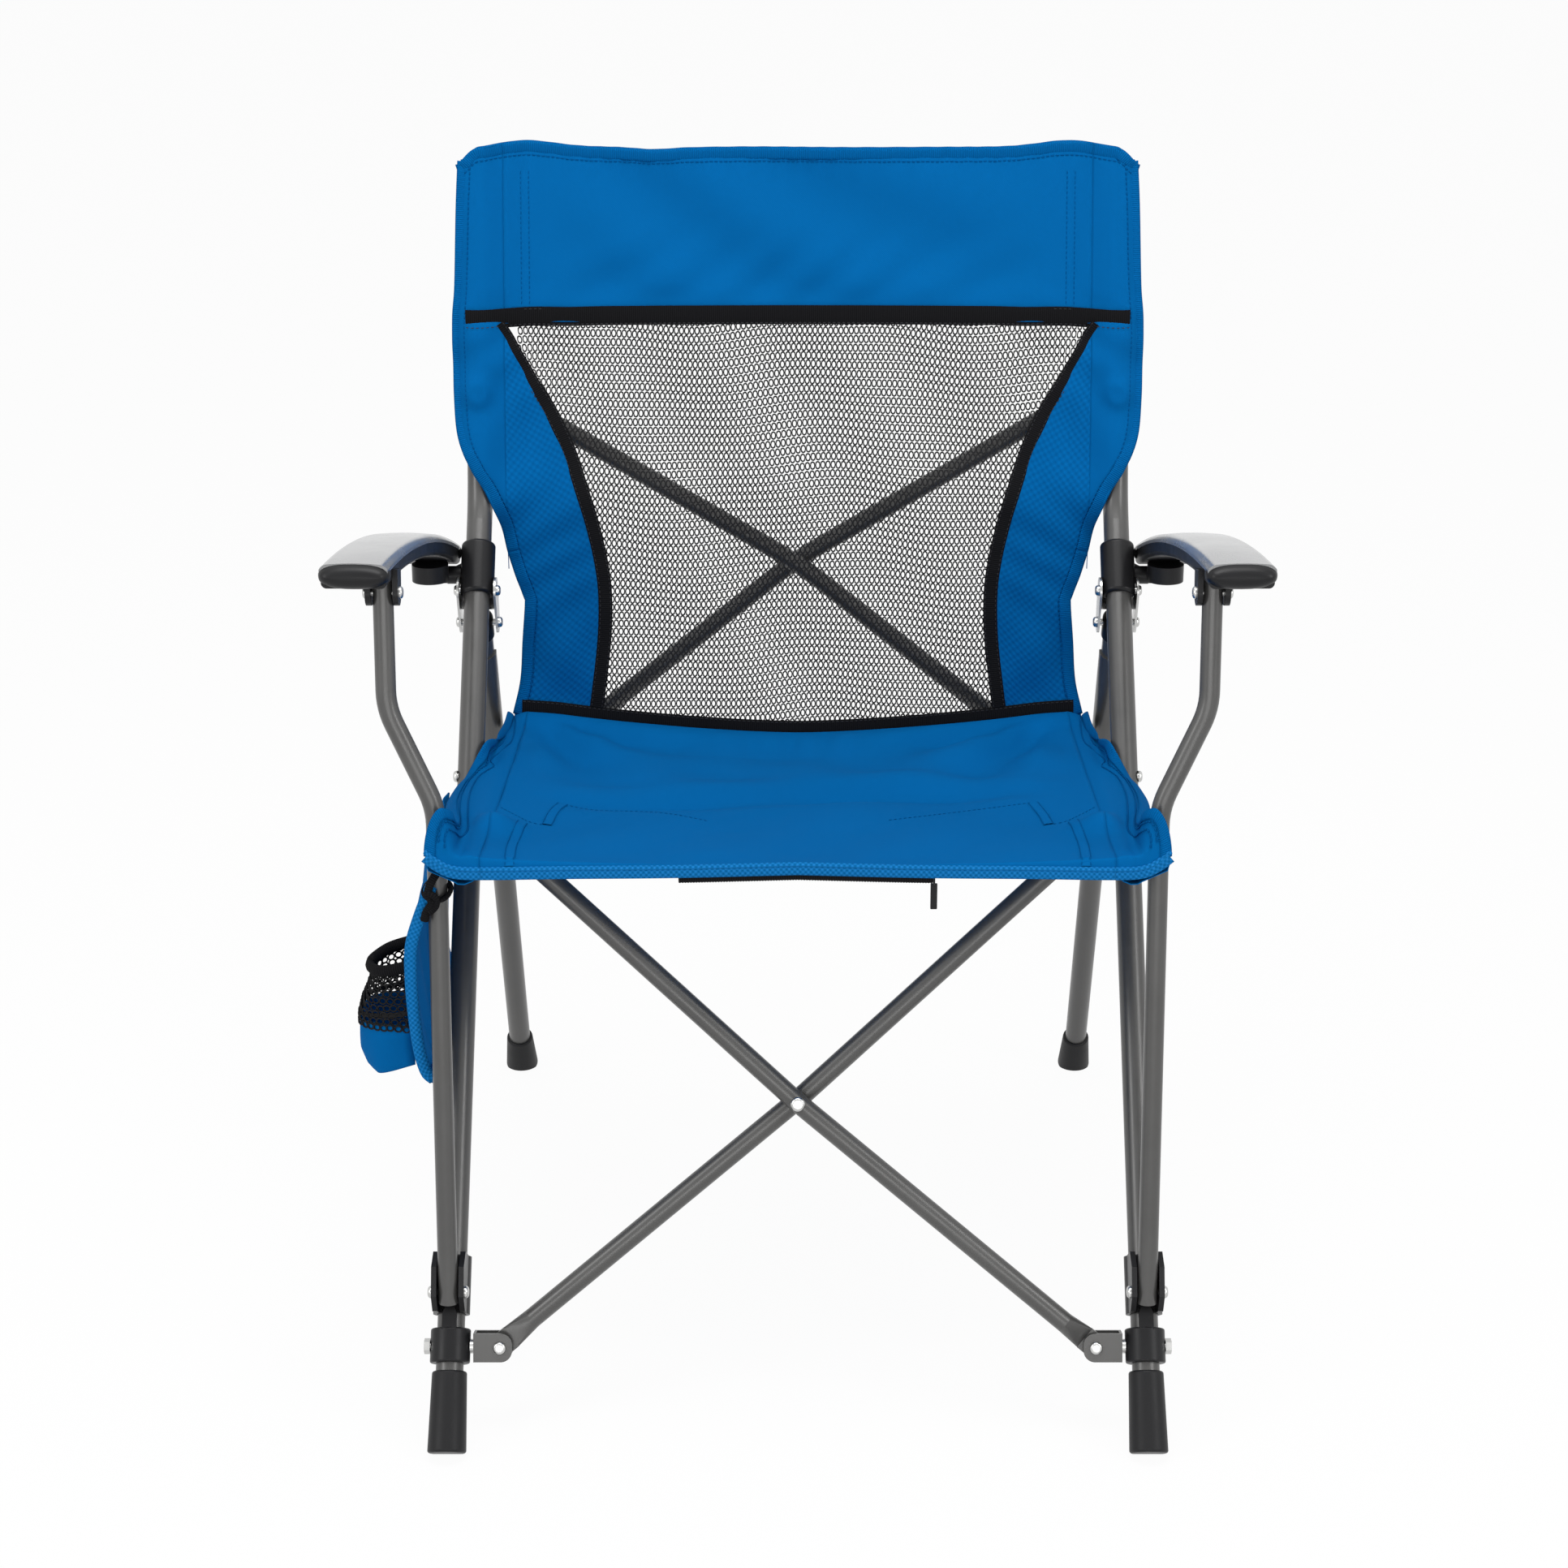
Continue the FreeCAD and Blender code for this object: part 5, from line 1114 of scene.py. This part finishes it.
binding = ribbon_round("binding", edge3 + np.array([0.001, 0, 0]), 0.0040, band_cloth, flat=0.55)
low_rows = panel_rows[:, -1]
low_binding = ribbon_round("low_binding", low_rows, 0.0028, blue_tape)
bag = joined("organizer_panel_cloth", [panel, binding, low_binding])
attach(bag, "right_post")
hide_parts("organizer_panel")

# Cup pocket: a D in plan, waisted under its rim, netted above and blue below.
PANEL_X, POCKET_FRONT, POCKET_BACK = -0.2892, -0.2600, -0.1730
POCKET_FOOT, POCKET_HEM, POCKET_RIM = 0.2670, 0.3110, 0.350
NET_LIMIT_X = -0.2915       # net cells nearer the panel than this would poke through it


def pocket_ring(z, count=48):
    """Plan outline of the pocket at a height: out from the panel and back to it."""
    deep = np.interp(z, [0.262, 0.272, 0.285, 0.3055, 0.3157, 0.330, 0.342, 0.354],
                     [0.031, 0.040, 0.0432, 0.0432, 0.0437, 0.0367, 0.0322, 0.0347])
    pinch = np.interp(z, [0.262, 0.30, 0.335, 0.354], [0.011, 0.009, 0.018, 0.017])
    a = np.linspace(0, math.pi, count)
    mid_y, half = (POCKET_FRONT + POCKET_BACK) / 2, (POCKET_BACK - POCKET_FRONT) / 2 - pinch
    y = mid_y - half * np.sign(np.cos(a)) * np.abs(np.cos(a)) ** 0.8
    x = PANEL_X - deep * np.sin(a) ** 0.62 * (1 + 0.03 * np.sin(5 * a + z * 90))
    return np.stack([x, y, np.full(count, z)], axis=1)


def rim_lift(ring):
    """The mouth rises from its outer lip to the panel."""
    ring = ring.copy()
    ring[:, 2] += 0.010 * (1 - (PANEL_X - ring[:, 0]) / 0.038) - 0.003
    return ring


blue_low = []
for z in np.linspace(POCKET_FOOT, POCKET_HEM, 16):
    ring = pocket_ring(z)
    below = (POCKET_HEM - z) / (POCKET_HEM - POCKET_FOOT)
    ring[:, 2] += 0.012 * (1 - np.clip((PANEL_X - ring[:, 0]) / 0.045, 0, 1)) * below
    ring[:, 2] -= 0.004 * np.sin(np.linspace(0, math.pi, 48)) * below
    blue_low.append(ring)
heel = np.array([PANEL_X - 0.010, (POCKET_FRONT + POCKET_BACK) / 2, 0.2650])
base = [blue_low[0] * (1 - t) + heel * t for t in (1.0, 0.75, 0.5, 0.25)]
shell = thick(sheet_mesh("shell", np.array(base + blue_low), blue_cloth), 0.0012)
cups = [shell]
dark = [pocket_ring(z) for z in np.linspace(0.3125, 0.3160, 4)]
for ring in dark:
    ring[:, 2] += 0.006 * (1 - np.clip((PANEL_X - ring[:, 0]) / 0.045, 0, 1))
cups.append(thick(sheet_mesh("waist_band", np.array(dark), black_net), 0.0008))
rim_rows = rim_lift(pocket_ring(POCKET_RIM))
cups.append(ribbon_round("rim", rim_rows, 0.0042, black_tape, flat=0.75))
spots, ahead_at, faces_at = [], [], []
PITCH = 0.0056
levels = np.arange(0.3080, 0.3490, PITCH * 0.866)
for k, z in enumerate(levels):
    ring = pocket_ring(z, 96)
    lift = smoothstep(0.318, POCKET_RIM, z)
    raised = rim_lift(ring)
    ring[:, 2] = ring[:, 2] * (1 - lift) + raised[:, 2] * lift
    run = np.r_[0, np.cumsum(np.linalg.norm(np.diff(ring, axis=0), axis=1))]
    count = int(run[-1] / PITCH)
    at = (np.arange(count) + (0.5 if k % 2 else 0.0)) * PITCH
    at = at[at < run[-1]]
    jitter = np.array([noise.noise(Vector((q * 90, z * 300, 1.7))) for q in at])
    at = np.clip(at + jitter * 0.0016, 0, run[-1])
    p = np.stack([np.interp(at, run, ring[:, i]) for i in range(3)], axis=1)
    q = np.stack([np.interp(at + 0.002, run, ring[:, i]) for i in range(3)], axis=1) - \
        np.stack([np.interp(at - 0.002, run, ring[:, i]) for i in range(3)], axis=1)
    q /= np.maximum(np.linalg.norm(q, axis=1)[:, None], 1e-9)
    out = np.cross(q, np.array([0, 0, 1.0]))
    out[out[:, 0] > 0] *= -1
    p[:, 2] += jitter * 0.0012
    clear = p[:, 0] < NET_LIMIT_X
    p, q, out = p[clear], q[clear], out[clear]
    spots.append(p + out * 0.0012)
    ahead_at.append(q)
    faces_at.append(out)
cups.append(spread("pocket_net", net_cell(PITCH * 1.02, PITCH * 0.92, 0.0050, 0.0045, points=10,
                                          cut=2.0, roll=0.0004),
                   np.concatenate(spots), np.concatenate(ahead_at), np.concatenate(faces_at),
                   black_net))
pocket = joined("cup_pocket_cloth", cups)
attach(pocket, "right_post")
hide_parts("cup_pocket")

# Strap: webbing knotted round the arm post and down to the panel's top corner.
knot_z = 0.414
post_low, post_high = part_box("organizer_strap")
centre = (-0.2650, (post_low[1] + post_high[1]) / 2)
loop = []
for a in np.linspace(0, 2 * math.pi, 40):
    loop.append((centre[0] + 0.0095 * math.cos(a), centre[1] + 0.0098 * math.sin(a),
                 knot_z + 0.012 + 0.0045 * math.sin(a)))
straps = [ribbon_round("loop", loop, 0.0017, black_tape, flat=2.4, ends=False)]
straps.append(ribbon_round("tail", spline([(-0.2640, -0.2700, 0.4420), (-0.2685, -0.2740, 0.4350),
                                           (-0.2705, -0.2745, 0.4270), (-0.2680, -0.2735, 0.4200),
                                           (-0.2725, -0.2725, 0.4120), (-0.2745, -0.2715, 0.4050)],
                                          50), 0.0031, black_tape, flat=0.7))
straps.append(ribbon_round("cross", spline([(-0.2735, -0.2710, 0.4250), (-0.2690, -0.2760, 0.4280),
                                            (-0.2645, -0.2755, 0.4240), (-0.2655, -0.2735, 0.4170),
                                            (-0.2705, -0.2740, 0.4120)], 50), 0.0026, black_tape,
                           flat=0.8))
strap = joined("organizer_strap_webbing", straps)
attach(strap, "right_post")
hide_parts("organizer_strap")
